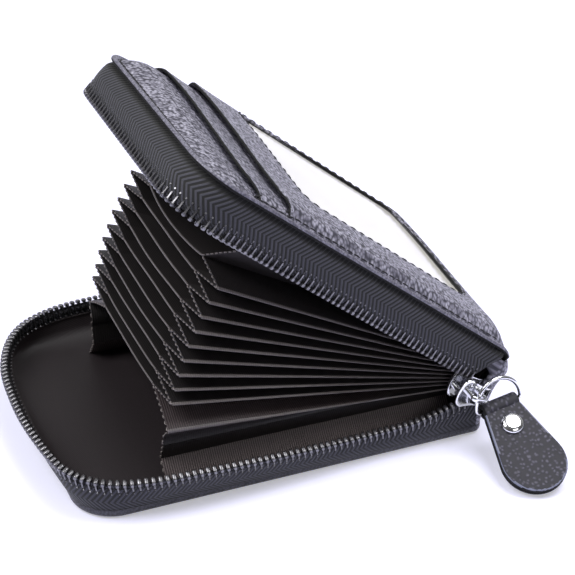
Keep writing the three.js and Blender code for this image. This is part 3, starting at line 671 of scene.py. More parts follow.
spineLook = {
    "low": -12.3, "high": 8.6, "bulge": 3.3, "shoulder": 0.9, "thickness": 1.5, "side": 36.55, "corner": 2.3,
    "turn": 6.0, "wrap": 53.4, "lidWrap": 49.4, "baseWrap": 52.2, "back": 54.3, "swellFrom": 50.5,
    "edgeRound": 0.8, "bulgeFrom": -10, "bulgeSpan": 18.4, "bulgeSkew": 1.35, "bulgeTop": 9, "topShare": 0.98,
    "shoulderAt": 6.5, "shoulderWide": 2.2, "lidWrapAt": (2.6, 6), "baseWrapAt": (3.5, 7),
}
offset = np.linspace(spineLook["low"], spineLook["high"], 41)
below = np.clip((offset - spineLook["bulgeFrom"]) / spineLook["bulgeSpan"], 0, 1)
below = np.sin(np.pi * below ** spineLook["bulgeSkew"])
above = spineLook["topShare"] * (1 - (offset / spineLook["bulgeTop"]) ** 3)
fromShoulder = (offset - spineLook["shoulderAt"]) / spineLook["shoulderWide"]
swell = spineLook["bulge"] * np.where(offset < 0, below, above)
swell += spineLook["shoulder"] * np.exp(-fromShoulder ** 2)  # full where it meets the lid
wrapEnd = spineLook["wrap"]
for end, way in (("lidWrap", 1), ("baseWrap", -1)):
    wrapEnd = wrapEnd + (spineLook[end] - spineLook["wrap"]) * easeStep(*spineLook[end + "At"], way * offset)
side, corner, back = spineLook["side"], spineLook["corner"], spineLook["back"]
bend = cornerArc(back - corner, corner - side, corner, -90, 0, 9)
straight = np.stack([np.full(14, back), np.linspace(corner - side, 0, 15)[1:]], 1)
lead = np.linspace(0, 1, 6)[:-1, None]
rows = []
for rise, end, out in zip(offset, wrapEnd, swell):  # a flat back whose ends turn the corner toward the zip
    start = np.array([min(end, bend[0, 0] - 0.2), -side + 0.25 * max(0, bend[0, 0] - end)])
    half = np.concatenate([start + (bend[0] - start) * lead, bend, straight])
    whole = np.concatenate([half, half[-2::-1] * [1, -1]])
    whole[:, 0] += out * easeStep(spineLook["swellFrom"], back, whole[:, 0])
    rows.append(atHeight(whole, wallet["hingeZ"] + rise))
flat = np.array(rows)
girth = alongLine(flat[len(flat) // 2])
toEdge = np.minimum(girth, girth[-1] - girth)
half = spineLook["thickness"] / 2 * roundedOff(toEdge, spineLook["edgeRound"], 0.05)
share = easeStep(-spineLook["turn"], spineLook["turn"], offset)
shape = newShape()
addSheet(shape, turnedOpen(flat, share[:, None]), half, gridOf(girth, offset[:, None]))
fold = np.array([math.sin(openAngle / 2), 0, math.cos(openAngle / 2)]) * spineLook["turn"]
foldEnds = (hinge - fold, hinge + fold)
placePiece("spineLeather", shape, [caseLeather], foldEnds, "grain_leather", "spine_lower", "spine_upper")
print("covers ready")


# Card slots and window on the lid

panelLook = {"sideInset": 1.75, "spineInset": 2.0, "sagitta": 1.0, "thickness": 0.75, "edgeRound": 0.45,
             "sewn": 0.14, "cut": 0.25, "turnAt": (27, 36.5), "looseAt": (1.2, 4.2), "spineLoose": 8,
             "gapeReach": 7}
slotLook = {"mouthX": -41.7, "turnNear": 3.6, "turnFar": 0.4, "above": 0.38, "lift": 0.9}
windowLook = {"mouthX": -32.5, "turnNear": 3.6, "turnFar": 3.2, "above": 1.75, "lift": 0.6,
              "x": (-16.5, 44.5), "y": (-21, 29), "radius": 5, "dip": 0.1, "dipWide": 2.2, "filmLap": 2.7,
              "film": 0.2, "filmSewn": 0.1, "filmUp": 0.83}
panelSide = halfWidth - panelLook["sideInset"]
panelSpine = halfLength - panelLook["spineInset"]
lidUp = turnedOpen(hinge + [0, 0, 1]) - hinge


def mouthLine(y, look):  # a shallow arc whose ends turn in toward the spine
    arc = look["mouthX"] + panelLook["sagitta"] * (1 - (y / panelSide) ** 2)
    turn = np.where(np.asarray(y) < 0, look["turnNear"], look["turnFar"])
    return arc + turn * easeStep(*panelLook["turnAt"], np.abs(y))


def looseShare(x, y):  # 0 along the sewn sides, 1 where the panel is free
    fromSides = easeStep(*panelLook["looseAt"], sideInset(x, y))
    return fromSides * easeStep(panelLook["spineInset"], panelLook["spineLoose"], halfLength - x)


def panelHeight(x, y, look):  # the panel sinks to the seam at its sewn sides and gapes a little at its mouth
    fromMouth = np.clip(x - mouthLine(y, look), 0, None)
    shutEnds = 1 - np.where(y > 0, (y / panelSide) ** 4, (y / panelSide) ** 16)
    gape = look["lift"] * np.exp(-fromMouth / panelLook["gapeReach"]) * shutEnds
    return lidTop(x, y) + panelLook["sewn"] + (look["above"] - panelLook["sewn"]) * looseShare(x, y) + gape


def panelHalf(toEdge):
    return panelLook["thickness"] / 2 * roundedOff(toEdge, panelLook["edgeRound"], 0.004)


nearEdge = np.array([0, 0.05, 0.15, 0.3, 0.5])
between = np.linspace(1 - panelSide, panelSide - 1, 61)
y = np.concatenate([nearEdge - panelSide, between, panelSide - nearEdge[::-1]])
mouth = mouthLine(y, slotLook)
even, deepest = 12, 90  # past the first, the rows spread evenly to the spine
run = np.concatenate([nearEdge, [0.8, 1.4, 2.5, 4, 6, 9], np.linspace(even, deepest, 40)])[:, None]
spread = even + (run - even) / (deepest - even) * (panelSpine - mouth - even)
x = mouth + np.where(run <= even, run, spread)
x = np.minimum(x, panelSpine)
fromMouth = x - mouth
toEdge = np.minimum(np.minimum(panelSide - np.abs(y), panelSpine - x), fromMouth)
flat = gridOf(x, y, panelHeight(x, y, slotLook))
shape = newShape()
# the mouth's cut edge takes the inked black, partly painted shade for the gap under it
addSheet(shape, turnedOpen(flat), panelHalf(toEdge), flat[..., :2], lidUp,
         lambda r, c: int(fromMouth[r:r + 2, c:c + 2].mean() < panelLook["cut"]))
placePiece("slotPanelLeather", shape, [caseLeather, inkedEdgeAndShade], "lid", "grain_leather", "slot_panel")

(windowX0, windowX1), (windowY0, windowY1) = windowLook["x"], windowLook["y"]


def windowEdge(grow, step):  # round the window's rounded opening
    r = windowLook["radius"]
    line = np.concatenate([
        cornerArc(x, y, r + grow, turn - 90, turn, 13) for x, y, turn in (
            (windowX1 - r, windowY0 + r, 0), (windowX1 - r, windowY1 - r, 90),
            (windowX0 + r, windowY1 - r, 180), (windowX0 + r, windowY0 + r, 270))])
    line = np.concatenate([line, line[:1]])
    return evenly(line, int(alongLine(line)[-1] / step) + 1)[:-1]


eye = np.array([windowX0 + windowX1, windowY0 + windowY1]) / 2
angleAt = lambda points: np.arctan2(*(points - eye).T[::-1]) % (2 * math.pi)
y = np.linspace(-panelSide, panelSide, 121)
mouthArc = np.stack([mouthLine(y, windowLook), y], 1)
corners = np.array([(panelSpine, -panelSide), (panelSpine, panelSide)])
outerEdge = np.concatenate([mouthArc[::-1], corners, mouthArc[-1:]])
outerEdge = np.concatenate([evenly(np.array([a, b]), max(2, int(np.linalg.norm(b - a)) + 1))[:-1]
                            for a, b in zip(outerEdge, outerEdge[1:])])
innerEdge = windowEdge(0, 0.8)
angles = np.unique(angleAt(np.concatenate([innerEdge, corners, mouthArc[[0, -1]]])))
inner, outer = (np.interp(angles, angleAt(edge), np.linalg.norm(edge - eye, axis=1), period=2 * math.pi)
                for edge in (innerEdge, outerEdge))
lead = [*nearEdge, 0.8, 1.3]
between = inner + lead[-1] + (outer - inner - 2 * lead[-1]) * np.linspace(0.06, 0.94, 20)[:, None]
rows = np.array([inner + d for d in lead] + [*between] + [outer - d for d in lead[::-1]])
way = np.stack([np.cos(angles), np.sin(angles)], 1)
slope = np.maximum(np.abs(way).max(1), 0.72)  # a ray meets the edge at a slant
x, y = np.moveaxis(eye + way * rows[..., None], -1, 0)
dip = windowLook["dip"] * (1 - easeStep(0, windowLook["dipWide"], rows - inner))
flat = gridOf(x, y, panelHeight(x, y, windowLook) - dip)
half = panelHalf(np.minimum(rows - inner, outer - rows) * slope)[..., None] * [0, 0, 1]
skin = np.concatenate([flat + half, (flat - half)[::-1]])
shape = newShape()
addRings(shape, turnedOpen(skin), skin[..., :2], closed=True)
pairs = skin + np.roll(skin, -1, 0)
x, y = np.moveaxis(pairs + np.roll(pairs, -1, 1), -1, 0)[:2] / 4  # the middle of each face
# the mouth's and the window's cut edges take the inked black, partly painted shade
cut = (x - mouthLine(y, windowLook) < panelLook["cut"]) | (np.hypot(x - eye[0], y - eye[1]) < inner + 0.2)
shape["kinds"] = cut.astype(int).ravel().tolist()
placePiece("windowPanelLeather", shape, [caseLeather, inkedEdgeAndShade], "lid", "grain_leather", "window_panel")

lap = windowLook["filmLap"]
x = np.linspace(windowX0 - lap, windowX1 + lap, 66)[:, None]
y = np.linspace(windowY0 - lap, windowY1 + lap, 56)
wave = 0.03 * np.sin(x / 9 + 0.6) * np.sin(y / 11 + x / 23) + 0.02 * np.sin(y / 5 + 1.0)  # faint ripples
film = lidTop(x, y) + windowLook["filmSewn"] + windowLook["filmUp"] * looseShare(x, y) + wave
flat = gridOf(x, y, film)
shape = newShape()
addSheet(shape, turnedOpen(flat), windowLook["film"] / 2, flat[..., :2])
placePiece("windowFilmSheet", shape, [clearFilm], "lid", "window_film", "window_film")

seamLook = {"stitch": 2.1, "gap": 1.1, "thread": 0.24, "windowInset": 0.8, "sunk": 0.2, "tackThread": 0.26,
            "grooveInset": 0.55, "groovePitch": 2.5, "grooveShare": 0.92, "grooveThread": 0.25, "proud": 0.06,
            "tackInsets": (0.35, 1.52), "tackReach": (-0.7, 0.9), "tackUp": (0.1, 0.38)}
shape = newShape()
onPanel = lambda x, y, look: panelHeight(x, y, look) + panelLook["thickness"] / 2 - seamLook["sunk"]
lidStitch = lambda x, y, z, thread: addStitch(shape, turnedOpen(gridOf(x, y, z)), lidUp, thread)
seam = windowEdge(seamLook["windowInset"], 0.2)
seam = np.concatenate([seam, seam[:1]])
pitch = seamLook["stitch"] + seamLook["gap"]
count = int(alongLine(seam)[-1] / pitch)
fine = 40
ends = evenly(seam, count * fine + 1)
for k in range(0, count * fine, fine):
    x, y = ends[[k, k + int(fine * seamLook["stitch"] / pitch)]].T
    lidStitch(x, y, onPanel(x, y, windowLook) + seamLook["proud"], seamLook["thread"])
for look in (slotLook, windowLook):  # two tacks at each end of both card mouths
    for end in (-1, 1):
        for inset in seamLook["tackInsets"]:
            y = end * (panelSide - inset)
            x = mouthLine(y, look) + np.array(seamLook["tackReach"])
            z = np.array([lidTop(x[0], y), panelHeight(x[1], y, look)]) + seamLook["tackUp"]
            lidStitch(x, y, z, seamLook["tackThread"])
inset = lidLook["groove"] + seamLook["grooveInset"]
fine = 4000
groove = rimLine(-inset, wallet["mouthRadius"] - inset, 48, fine + 1)
count = int(alongLine(groove)[-1] / seamLook["groovePitch"])
for k in range(count):  # the seam that holds the panels runs along the groove
    x, y = groove[[int(fine * k / count), int(fine * (k + seamLook["grooveShare"]) / count)]].T
    z = lidTop(x, y)
    for look in (slotLook, windowLook):
        z = np.where(x > mouthLine(y, look), onPanel(x, y, look), z)
    lidStitch(x, y, z, seamLook["grooveThread"])
placePiece("lidStitches", shape, [waxedThread], "lid", "grain_leather")
print("slots and window ready")


# Zip: woven tapes and rows of teeth

zipLook = {
    "tapeThickness": 0.6, "tapeEndX": 52.5, "footInset": 0.8, "bareTip": 1.2, "pitch": 1.72,
    "belly": 0.75, "cord": 0.62, "cordBelow": 1.05, "lidFoot": 23.7, "lidTip": 12.95, "lidOut": 0.4,
    "lidRadius": 13, "lidTapeEnd": 50.9, "lidChainEnd": 45.8, "gutter": 0.7, "baseFoot": 1.3, "trim": 0.74,
    "trimAt": (45.2, 51.5), "steps": 401,
}
baseRim = [  # share of the way round, lean out and drop below the hinge line, where the soft rim stands
    (0.007, 1.3, 0.1), (0.023, 1.4, 0.6), (0.045, 1.6, 2.0), (0.07, 1.9, 3.2), (0.11, 2.0, 3.7),
    (0.16, 3.0, 3.2), (0.218, 4.1, 2.2), (0.279, 4.5, 1.4), (0.326, 4.0, 1.0), (0.362, 2.0, 0.9),
    (0.395, 2.9, 0.8), (0.45, 6.1, 0.8), (0.507, 6.8, 0.8), (0.57, 4.6, 0.7), (0.6235, -0.2, 0.6),
    (0.667, 3.7, 0.6), (0.725, 5.9, 0.6), (0.811, 5.7, 0.6), (0.901, 3.9, 0.7), (0.962, 2.1, 0.8),
    (0.993, 1.3, 0.8),
]
toothRings = [  # height from the tip, half width along the zip, half depth
    (-3.95, 0.1, 0.6), (-3.85, 0.27, 0.92), (-3.5, 0.3, 1.0), (-3.3, 0.1, 0.7), (-2.9, 0.1, 0.7),
    (-2.75, 0.3, 1.0), (-1.0, 0.3, 1.0), (-0.82, 0.56, 1.08), (-0.25, 0.56, 0.96), (-0.05, 0.42, 0.8),
    (0.05, 0.24, 0.6),
]


def footRow(endX, count, z):
    inset = zipLook["footInset"]
    return atHeight(rimLine(-inset, wallet["mouthRadius"] - inset, endX, count), z)


def lidTipRow(endX, count):
    return atHeight(rimLine(zipLook["lidOut"], zipLook["lidRadius"], endX, count), zipLook["lidTip"])


def baseRimCurve():
    feet = footRow(zipLook["tapeEndX"], 2001, 0)
    along = unit(np.gradient(feet, axis=0))
    knots = []
    for share, lean, drop in baseRim:
        k = int(round(share * 2000))
        knots.append(feet[k] + [-along[k, 1] * lean, along[k, 0] * lean, wallet["hingeZ"] - drop])
    return smoothCurve(np.array(knots))


def zipFrames(feet, tips):
    along = unit(np.gradient(tips, axis=0))
    up = unit(tips - feet)
    return along, up, unit(np.cross(up, along))


def addTape(shape, feet, tips, outward=1, gutter=0.0, short=0.0):
    along, up, out = zipFrames(feet, tips)
    tall = (np.linalg.norm(tips - feet, axis=1) - zipLook["bareTip"]) * (1 - short)
    share = np.concatenate([np.linspace(0, 0.2, 6), np.linspace(0.28, 1, 10)])
    run = alongLine(tips)[:, None]
    rise = tall[:, None] * share
    belly = zipLook["belly"] * np.sin(np.pi * share) * (1 + 0.25 * np.sin(run / 17))
    belly = (belly - gutter * (1 - easeStep(0, 0.2, share))) * outward  # it dips into the seam under the bead
    middle = feet[:, None] + up[:, None] * rise[..., None] + out[:, None] * belly[..., None]
    addSheet(shape, middle, zipLook["tapeThickness"] / 2, gridOf(run, rise))
    addTube(shape, feet + up * (tall - zipLook["cordBelow"])[:, None], zipLook["cord"], 8, out)


def addTeeth(shape, feet, tips):  # one moulded tooth at every pitch, with its corners taken off
    turn = [(-1, -0.6), (-0.6, -1), (0.6, -1), (1, -0.6), (1, 0.6), (0.6, 1), (-0.6, 1), (-1, 0.6)]
    for tip, a, u, o in zip(tips, *zipFrames(feet, tips)):
        a = unit(a - u * (a @ u))
        addRings(shape, [[tip + u * h + a * (wide * p) + o * (deep * q) for p, q in turn]
                         for h, wide, deep in toothRings])


rimCurve = baseRimCurve()
baseTips = evenly(rimCurve, zipLook["steps"])
baseFeet = footRow(zipLook["tapeEndX"], zipLook["steps"], zipLook["baseFoot"])
shape = newShape()
addTape(shape, baseFeet, baseTips)
placePiece("baseZipTape", shape, [herringbone], "base", "zip_tape", "base_zip_tape")
count = int(round(alongLine(rimCurve)[-1] / zipLook["pitch"])) + 1
shape = newShape()  # the stop takes the place of the first two teeth
addTeeth(shape, footRow(zipLook["tapeEndX"], count, zipLook["baseFoot"])[2:], evenly(rimCurve, count)[2:])
placePiece("baseZipTeeth", shape, [darkNickel], "base", "dark_teeth", "base_zip_chain", sharp=30)

lidFeet = footRow(zipLook["lidTapeEnd"], zipLook["steps"], zipLook["lidFoot"])
lidTips = lidTipRow(zipLook["lidTapeEnd"], zipLook["steps"])
cutBack = zipLook["trim"] * easeStep(*zipLook["trimAt"], lidTips[:, 0])  # trimmed slantwise at the spine
shape = newShape()
addTape(shape, turnedOpen(lidFeet), turnedOpen(lidTips), -1, zipLook["gutter"], cutBack)
placePiece("lidZipTape", shape, [herringbone], "lid", "zip_tape", "lid_zip_tape")
end = zipLook["lidChainEnd"]
count = int(round(alongLine(lidTipRow(end, 4001))[-1] / zipLook["pitch"])) + 1
shape = newShape()
addTeeth(shape, turnedOpen(footRow(end, count, zipLook["lidFoot"])), turnedOpen(lidTipRow(end, count)))
placePiece("lidZipTeeth", shape, [darkNickel], "lid", "dark_teeth", "lid_zip_chain", sharp=30)
print("zip ready")


# Linings

liningLook = {  # the tray's rows are insets and heights on its floor, and shares of its wall's height
    "floor": 3.0, "thickness": 0.4, "floorRows": [(9, 0.2), (5.5, 0.25), (3.2, 0.55), (2.0, 1.2)],
    "wallFoot": 0.22, "wallRows": (0.34, 0.42, 0.5, 0.58, 0.63), "wallTop": 0.66, "wallGap": 0.75,
    "lidHeight": 22.0, "lidInset": 1.9, "lidEndX": 52.6, "spineX": 52.95, "spineHalf": 34,
    "spineEnds": (-9.6, 9.0), "spineThickness": 0.6,
}
floor, top = liningLook["floor"], liningLook["wallTop"]
out = zipFrames(baseFeet, baseTips)[2]
bulge = lambda h: zipLook["belly"] * math.sin(math.pi * h) - liningLook["wallGap"]
wall = lambda h: baseFeet + (baseTips - baseFeet) * h + out * bulge(h)
spread = np.clip(baseFeet, [0, 0, floor + 0.2], [zipLook["tapeEndX"], 0, floor + 0.2])
inward = unit((spread - baseFeet) * [1, 1, 0])
onFloor = [atHeight((baseFeet + inward * d)[:, :2], floor + rise) for d, rise in liningLook["floorRows"]]
rows = [spread + (onFloor[0] - spread) * s for s in (0, 0.25, 0.5, 0.75, 1)]
rows += [*onFloor[1:3], wall(liningLook["wallFoot"]) * 0.5 + onFloor[3] * 0.5]
rows += [wall(h) for h in liningLook["wallRows"]]
rows += [wall(top) - out * 0.25, wall(top + 0.02) - out * 0.1]  # its top edge turns back in
tray = np.array(rows)
normals = gridNormals(tray)
normals[:5] = [0, 0, np.sign(normals[4, :, 2].mean())]
shape = newShape()
addSheet(shape, tray, liningLook["thickness"] / 2, gridOf(alongLine(baseTips), alongLine(tray)), normals,
         ends=(False, True))
baseLining = placePiece("baseLiningTray", shape, [liningSatin], "base", "lining_cloth", "base_lining")

height, inset = liningLook["lidHeight"], liningLook["lidInset"]
rows = [atHeight(edgeRing(inset + d), height + 0.3 - 0.25 * min(d, 1)) for d in (0, 1, 3, 6)]
rows += [atHeight(filledRow(inset + 6, share), height) for share in (0.66, 0.33, 0)]
rows = np.array(rows)
rows[..., 0] = np.minimum(rows[..., 0], liningLook["lidEndX"])
rows = np.concatenate([rows, rows[:, :1]], 1)
shape = newShape()
addSheet(shape, turnedOpen(rows), liningLook["thickness"] / 2, rows[..., :2], -lidUp, ends=(True, False))
lidLining = placePiece("lidLiningSheet", shape, [liningSatin], "lid", "lining_cloth", "lid_lining")

offset = np.linspace(*liningLook["spineEnds"], 25)[:, None]
acrossSpine = np.linspace(-liningLook["spineHalf"], liningLook["spineHalf"], 35)
flat = gridOf(liningLook["spineX"], acrossSpine, wallet["hingeZ"] + offset)
share = easeStep(-spineLook["turn"], spineLook["turn"], offset)
shape = newShape()
addSheet(shape, turnedOpen(flat, share), liningLook["spineThickness"] / 2, flat[..., 1:])
spineLining = placePiece("spineLiningSheet", shape, [liningSatin], foldEnds, "lining_cloth",
                         "spine_lining_lower", "spine_lining_upper")
print("linings ready")


# Card fan: pocket leaves between two pleated gussets

fanLook = {
    "count": 10, "firstShare": 0.32, "lastShare": 0.743, "pitch": 1.3, "reach": 87.3, "root": 4.5,
    "middleY": -3, "halfWidth": 18.35, "thickness": 0.5, "hem": 0.27, "sag": 0.55, "topSag": 1.7,
    "ripple": 0.12, "keep": 0.3,
}
leafPlaces = [  # share of the lid's turn, and distance from the fan's middle leaf
    (fanLook["firstShare"] + (fanLook["lastShare"] - fanLook["firstShare"]) * i / (fanLook["count"] - 1),
     (i - (fanLook["count"] - 1) / 2) * fanLook["pitch"]) for i in range(fanLook["count"])
]


def fanPoint(share, offset, reach, y):  # reach is out from the hinge line, offset square to the leaf
    return turnedOpen(gridOf(halfLength - reach, y, wallet["hingeZ"] + offset), share)


def leafNormal(share):
    return np.array([math.sin(openAngle * share), 0, math.cos(openAngle * share)])


side = np.linspace(-1, 1, 33)
y = side * fanLook["halfWidth"]
out = np.linspace(0, 1, 30)[:, None] ** 0.8
reach = fanLook["root"] + (fanLook["reach"] - fanLook["root"]) * out
for i, (share, offset) in enumerate(leafPlaces):
    top = i == fanLook["count"] - 1
    sag = fanLook["topSag"] if top else fanLook["sag"] * (0.7 + 0.5 * math.sin(2.3 * i))  # no two alike
    ripple = fanLook["ripple"] * np.sin(y / 6.3 + 1.7 * i) * easeStep(0.4, 1, out) * (1 - side ** 4)
    bow = ripple - sag * (1 - side ** 2) * easeStep(0.25, 1, out)
    middle = fanPoint(share, offset + bow, reach, fanLook["middleY"] + y)
    shape = newShape()
    addSheet(shape, middle, fanLook["thickness"] / 2, gridOf(reach, y))
    # the hem is a tube of the twill painted lighter: painted highlight
    addTube(shape, middle[-1], fanLook["hem"], 8, (0, 0, 1), 1)
    node = f"leaf_{i + 1:02d}"
    leaf = placePiece(f"pocketLeaf_{i + 1:02d}", shape, [twill, hemHighlight], node, "leaf_cloth", node)
    if top:  # the slack top leaf, pressed flat when the lid shuts, gets a mesh of its own
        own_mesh(leaf)

gussetLook = {
    "root": 8, "ridgeOut": 31.4, "innerOut": 18.4, "lowOut": 28.45, "lowShare": 0.135, "lowOffset": -6.6,
    "floorOffset": -9.6, "lidOffset": 8.85, "cloth": 0.5, "foldWide": 0.03, "crease": 3.0, "creaseAt": 0.54,
    "stitch": 0.95, "gap": 0.75, "thread": 0.2, "proud": 0.12, "gather": 0.5, "gatherUp": 2.6, "ripple": 0.16,
    "softFrom": 0.93, "softTop": 0.965, "softCurve": 7.1,
}
inverseEase = lambda w: 0.5 - math.sin(math.asin(1 - 2 * w) / 3)  # where a bend has turned by this share
floorFold = (0.0, gussetLook["floorOffset"], gussetLook["ridgeOut"])
lowFold = (gussetLook["lowShare"], gussetLook["lowOffset"], gussetLook["lowOut"])
lidFold = (1.0, gussetLook["lidOffset"], gussetLook["innerOut"])
leafFolds = [(share, offset, gussetLook["innerOut"]) for share, offset in leafPlaces]


def pleat(name, first, last, side, part=slice(None)):
    skirt = first is floorFold
    lowest = first is lowFold
    t = np.array([0, 0.05, 0.15, 0.27, 0.39, 0.465, 0.488, 0.5, 0.512, 0.535, 0.61, 0.73, 0.85, 0.95, 1.0])
    share, offset, out = (a + (b - a) * t for a, b in zip(first, last))
    drawn, crease = t, gussetLook["creaseAt"]
    if skirt:  # creased inward
        out = out - gussetLook["crease"] * np.minimum(t / crease, (1 - t) / (1 - crease))
    else:
        ridge = 1 - np.abs(2 * t - 1)
        drawn = np.where(t < 0.5, 1, ridge) if lowest else ridge
        soft = gussetLook["softTop"] - (1 - ridge) ** 2 * gussetLook["softCurve"]
        ridge = np.where(ridge > gussetLook["softFrom"], soft, ridge)  # not knife sharp
        out = out + (gussetLook["ridgeOut"] - out) * np.clip(ridge, 0, 1)
    t, share, offset, out, drawn = (line[part] for line in (t, share, offset, out, drawn))
    down = np.linspace(0, 1, 26)[:, None]
    reach = gussetLook["root"] + (fanLook["reach"] - gussetLook["root"]) * down
    ripple = gussetLook["ripple"] * np.sin(reach / 7.0 + 3 * first[1]) * np.sin(np.pi * t) * down
    gather = gussetLook["gatherUp"] - gussetLook["gather"] * offset  # the folds draw together at the spine
    gathered = drawn * gather * (1 - down)
    y = fanLook["middleY"] + side * (out + ripple)
    middle = fanPoint(share, offset + 0.5 * ripple + gathered, reach, y)
    mouth = middle[-1]
    slant = alongLine(mouth)

    def clothAt(r, c):  # 1 on the pressed fold, painted lighter as its highlight; 3 and 4 where lighter copies paint the light on ribbed faces
        at = (t[c] + t[c + 1]) / 2
        if not skirt and abs(at - 0.5) < gussetLook["foldWide"]:
            return 1
        return 3 if skirt and at < crease else 4 if lowest and at > crease else 0

    shape = newShape()
    addSheet(shape, middle, gussetLook["cloth"] / 2 * (0.6 + 0.4 * down), gridOf(reach, slant), None, clothAt)
    way = unit(middle[-1] - middle[-2])
    turns = [0] + [k for k in range(1, len(t) - 1) if not skirt and t[k] == 0.5] + [len(t) - 1]
    for low, high in zip(turns, turns[1:]):  # a seam along each half of the mouth
        lean = way[(low + high) // 2]
        count = max(2, int((slant[high] - slant[low]) / (gussetLook["stitch"] + gussetLook["gap"])))
        fine = 10
        line = evenly(mouth[low:high + 1], count * fine + 1)
        for k in range(0, count * fine, fine):  # half of each step shows
            addStitch(shape, line[[k + 1, k + 6]] + lean * gussetLook["proud"], lean, gussetLook["thread"], 2)
    normal = leafNormal((share[0] + share[-1]) / 2)
    y = fanLook["middleY"] + side * out
    a, b = (fanPoint(share[k], offset[k], fanLook["reach"], y[k]) for k in (0, -1))
    ta, tb = inverseEase(share[0]), inverseEase(share[-1])
    length = ((b - a) @ normal) / (tb - ta)
    start = a - normal * ta * length
    piece = placePiece(name, shape, [twill, hemHighlight, stitchThread, litRibbedTwill, halfLitRibbedTwill],
                       (start, start + normal * length), "gusset_cloth")
    return piece


for word, side, node in (("front", -1, "front_gusset"), ("back", 1, "back_gusset")):
    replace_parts(pleat(f"{word}GussetSkirt", floorFold, lowFold, side), node)
    for k, (first, last) in enumerate(zip([lowFold] + leafFolds, leafFolds)):
        pleat(f"{word}GussetPleat_{k + 1:02d}", first, last, side)
    for half, part in (("Inner", slice(0, 8)), ("Outer", slice(7, 15))):  # the wide top pleat turns in two
        pleat(f"{word}GussetTop{half}", leafFolds[-1], lidFold, side, part)
print("card fan ready")


# Slider, ring and pull tab

sliderLook = {
    "angle": 24, "tail": 2.5, "shoulder": 9.3, "nose": 12, "middle": -0.5, "half": 4.1, "tailHalf": 2.7,
    "shoulderLength": 3, "plate": 1.0, "outerY": -41.1, "innerY": -36.4, "round": 0.32, "ringRoom": 0.18,
    "bridgeMiddle": 6.95, "bridgeHole": 3.6, "bridgeDepth": 2.7, "bridgeBar": 0.9, "bridgeThick": 1.4,
    "bridgeCorner": 1.1, "wedge": (10, -1.15), "wedgeHalf": (1.05, 0.75),
}
sliderShare = sliderLook["angle"] / wallet["openAngle"]
outerY, innerY = sliderLook["outerY"], sliderLook["innerY"]


def onZip(s, y, z):  # along the zip from the hinge, across the case, and square to both
    return turnedOpen(gridOf(halfLength - s, y, wallet["hingeZ"] + z), sliderShare)


def sliderOutline():
    t = np.linspace(0, 1, 9)[:-1, None]
    bend = lambda *ends: sum(w * np.array(p) for w, p in zip(((1 - t) ** 2, 2 * t * (1 - t), t * t), ends))
    m, h, q = sliderLook["middle"], sliderLook["half"], sliderLook["tailHalf"]
    tail, shoulder, nose = sliderLook["tail"], sliderLook["shoulder"], sliderLook["nose"]
    waist = shoulder - sliderLook["shoulderLength"]
    return np.concatenate([
        [(tail, m - q), (tail, m - q / 2), (tail, m), (tail, m + q / 2)],
        bend((tail, m + q), (waist, m + q), (shoulder, m + h)),
        bend((shoulder, m + h), (nose, m + h), (nose, m)),
        bend((nose, m), (nose, m - h), (shoulder, m - h)),
        bend((shoulder, m - h), (waist, m - q), (tail, m - q)),
    ])


def addSliderPlate(shape, low, high):
    line = sliderOutline()
    along = unit(np.roll(line, -1, 0) - np.roll(line, 1, 0))
    inward = np.stack([along[:, 1], -along[:, 0]], 1)
    centre = np.array([(sliderLook["tail"] + sliderLook["nose"]) / 2 + 0.8, sliderLook["middle"]])
    inward = np.where(((centre - line) * inward).sum(1, keepdims=True) < 0, -inward, inward)
    r = sliderLook["round"]
    rings = []
    for inset, y in ((1.6, low), (0.9, low), (r, low), (0.3 * r, low + 0.3 * r), (0, low + r), (0, high - r),
                     (0.3 * r, high - 0.3 * r), (r, high), (1.6, high)):
        s, z = (line + inward * inset).T
        rings.append(onZip(s, y, z))
    addRings(shape, rings)


shape = newShape()
addSliderPlate(shape, outerY + sliderLook["ringRoom"], outerY + sliderLook["plate"])  # the ring swings clear
addSliderPlate(shape, innerY, innerY + sliderLook["plate"])
(s, z), (wide, tall), turn = sliderLook["wedge"], sliderLook["wedgeHalf"], fullTurn(20)
addRings(shape, [onZip(s + wide * np.cos(turn), y + 0.4, z + tall * np.sin(turn)) for y in (outerY, innerY)])
placePiece("sliderBodyPlates", shape, [brightNickel], "slider", "bright_nickel", "slider_body")

thick, corner = sliderLook["bridgeBar"], sliderLook["bridgeCorner"]
top = corner - sliderLook["bridgeDepth"] - thick / 2
half = (sliderLook["bridgeHole"] + thick) / 2
arch = evenly(np.concatenate([
    [(-half, 0.3), (-half, -0.6)],
    cornerArc(corner - half, top, corner, 180, 270, 7),
    cornerArc(half - corner, top, corner, -90, 0, 7),
    [(half, -0.6), (half, 0.3)],
]), 40)
along = unit(np.gradient(arch, axis=0))
boxy = lambda v: np.sign(v) * np.abs(v) ** 0.55  # a circle made nearly square
wide = boxy(np.cos(fullTurn(16))) * thick / 2
tall = boxy(np.sin(fullTurn(16))) * sliderLook["bridgeThick"] / 2
shape = newShape()
addRings(shape, [onZip(sliderLook["bridgeMiddle"] + s + b * wide, outerY + y - a * wide, tall)
                 for (s, y), (a, b) in zip(arch, along)])
placePiece("sliderBridgeLoop", shape, [brightNickel], "slider", "bright_nickel", "slider_bridge")

ringLook = {"pivot": (48.651, -42.8, 15.827), "lean": 6, "roll": 10, "wire": 0.55, "halfWidth": 6.4,
            "height": 8.3, "corner": 1.1, "hang": 4.8}


def turned(points, degrees, axis):  # about the X axis (0) or the Y axis (1)
    p, a = np.asarray(points, float), math.radians(degrees)
    i, j = ((1, 2), (2, 0))[axis]
    out = p.copy()
    out[..., i] = p[..., i] * math.cos(a) - p[..., j] * math.sin(a)
    out[..., j] = p[..., i] * math.sin(a) + p[..., j] * math.cos(a)
    return out


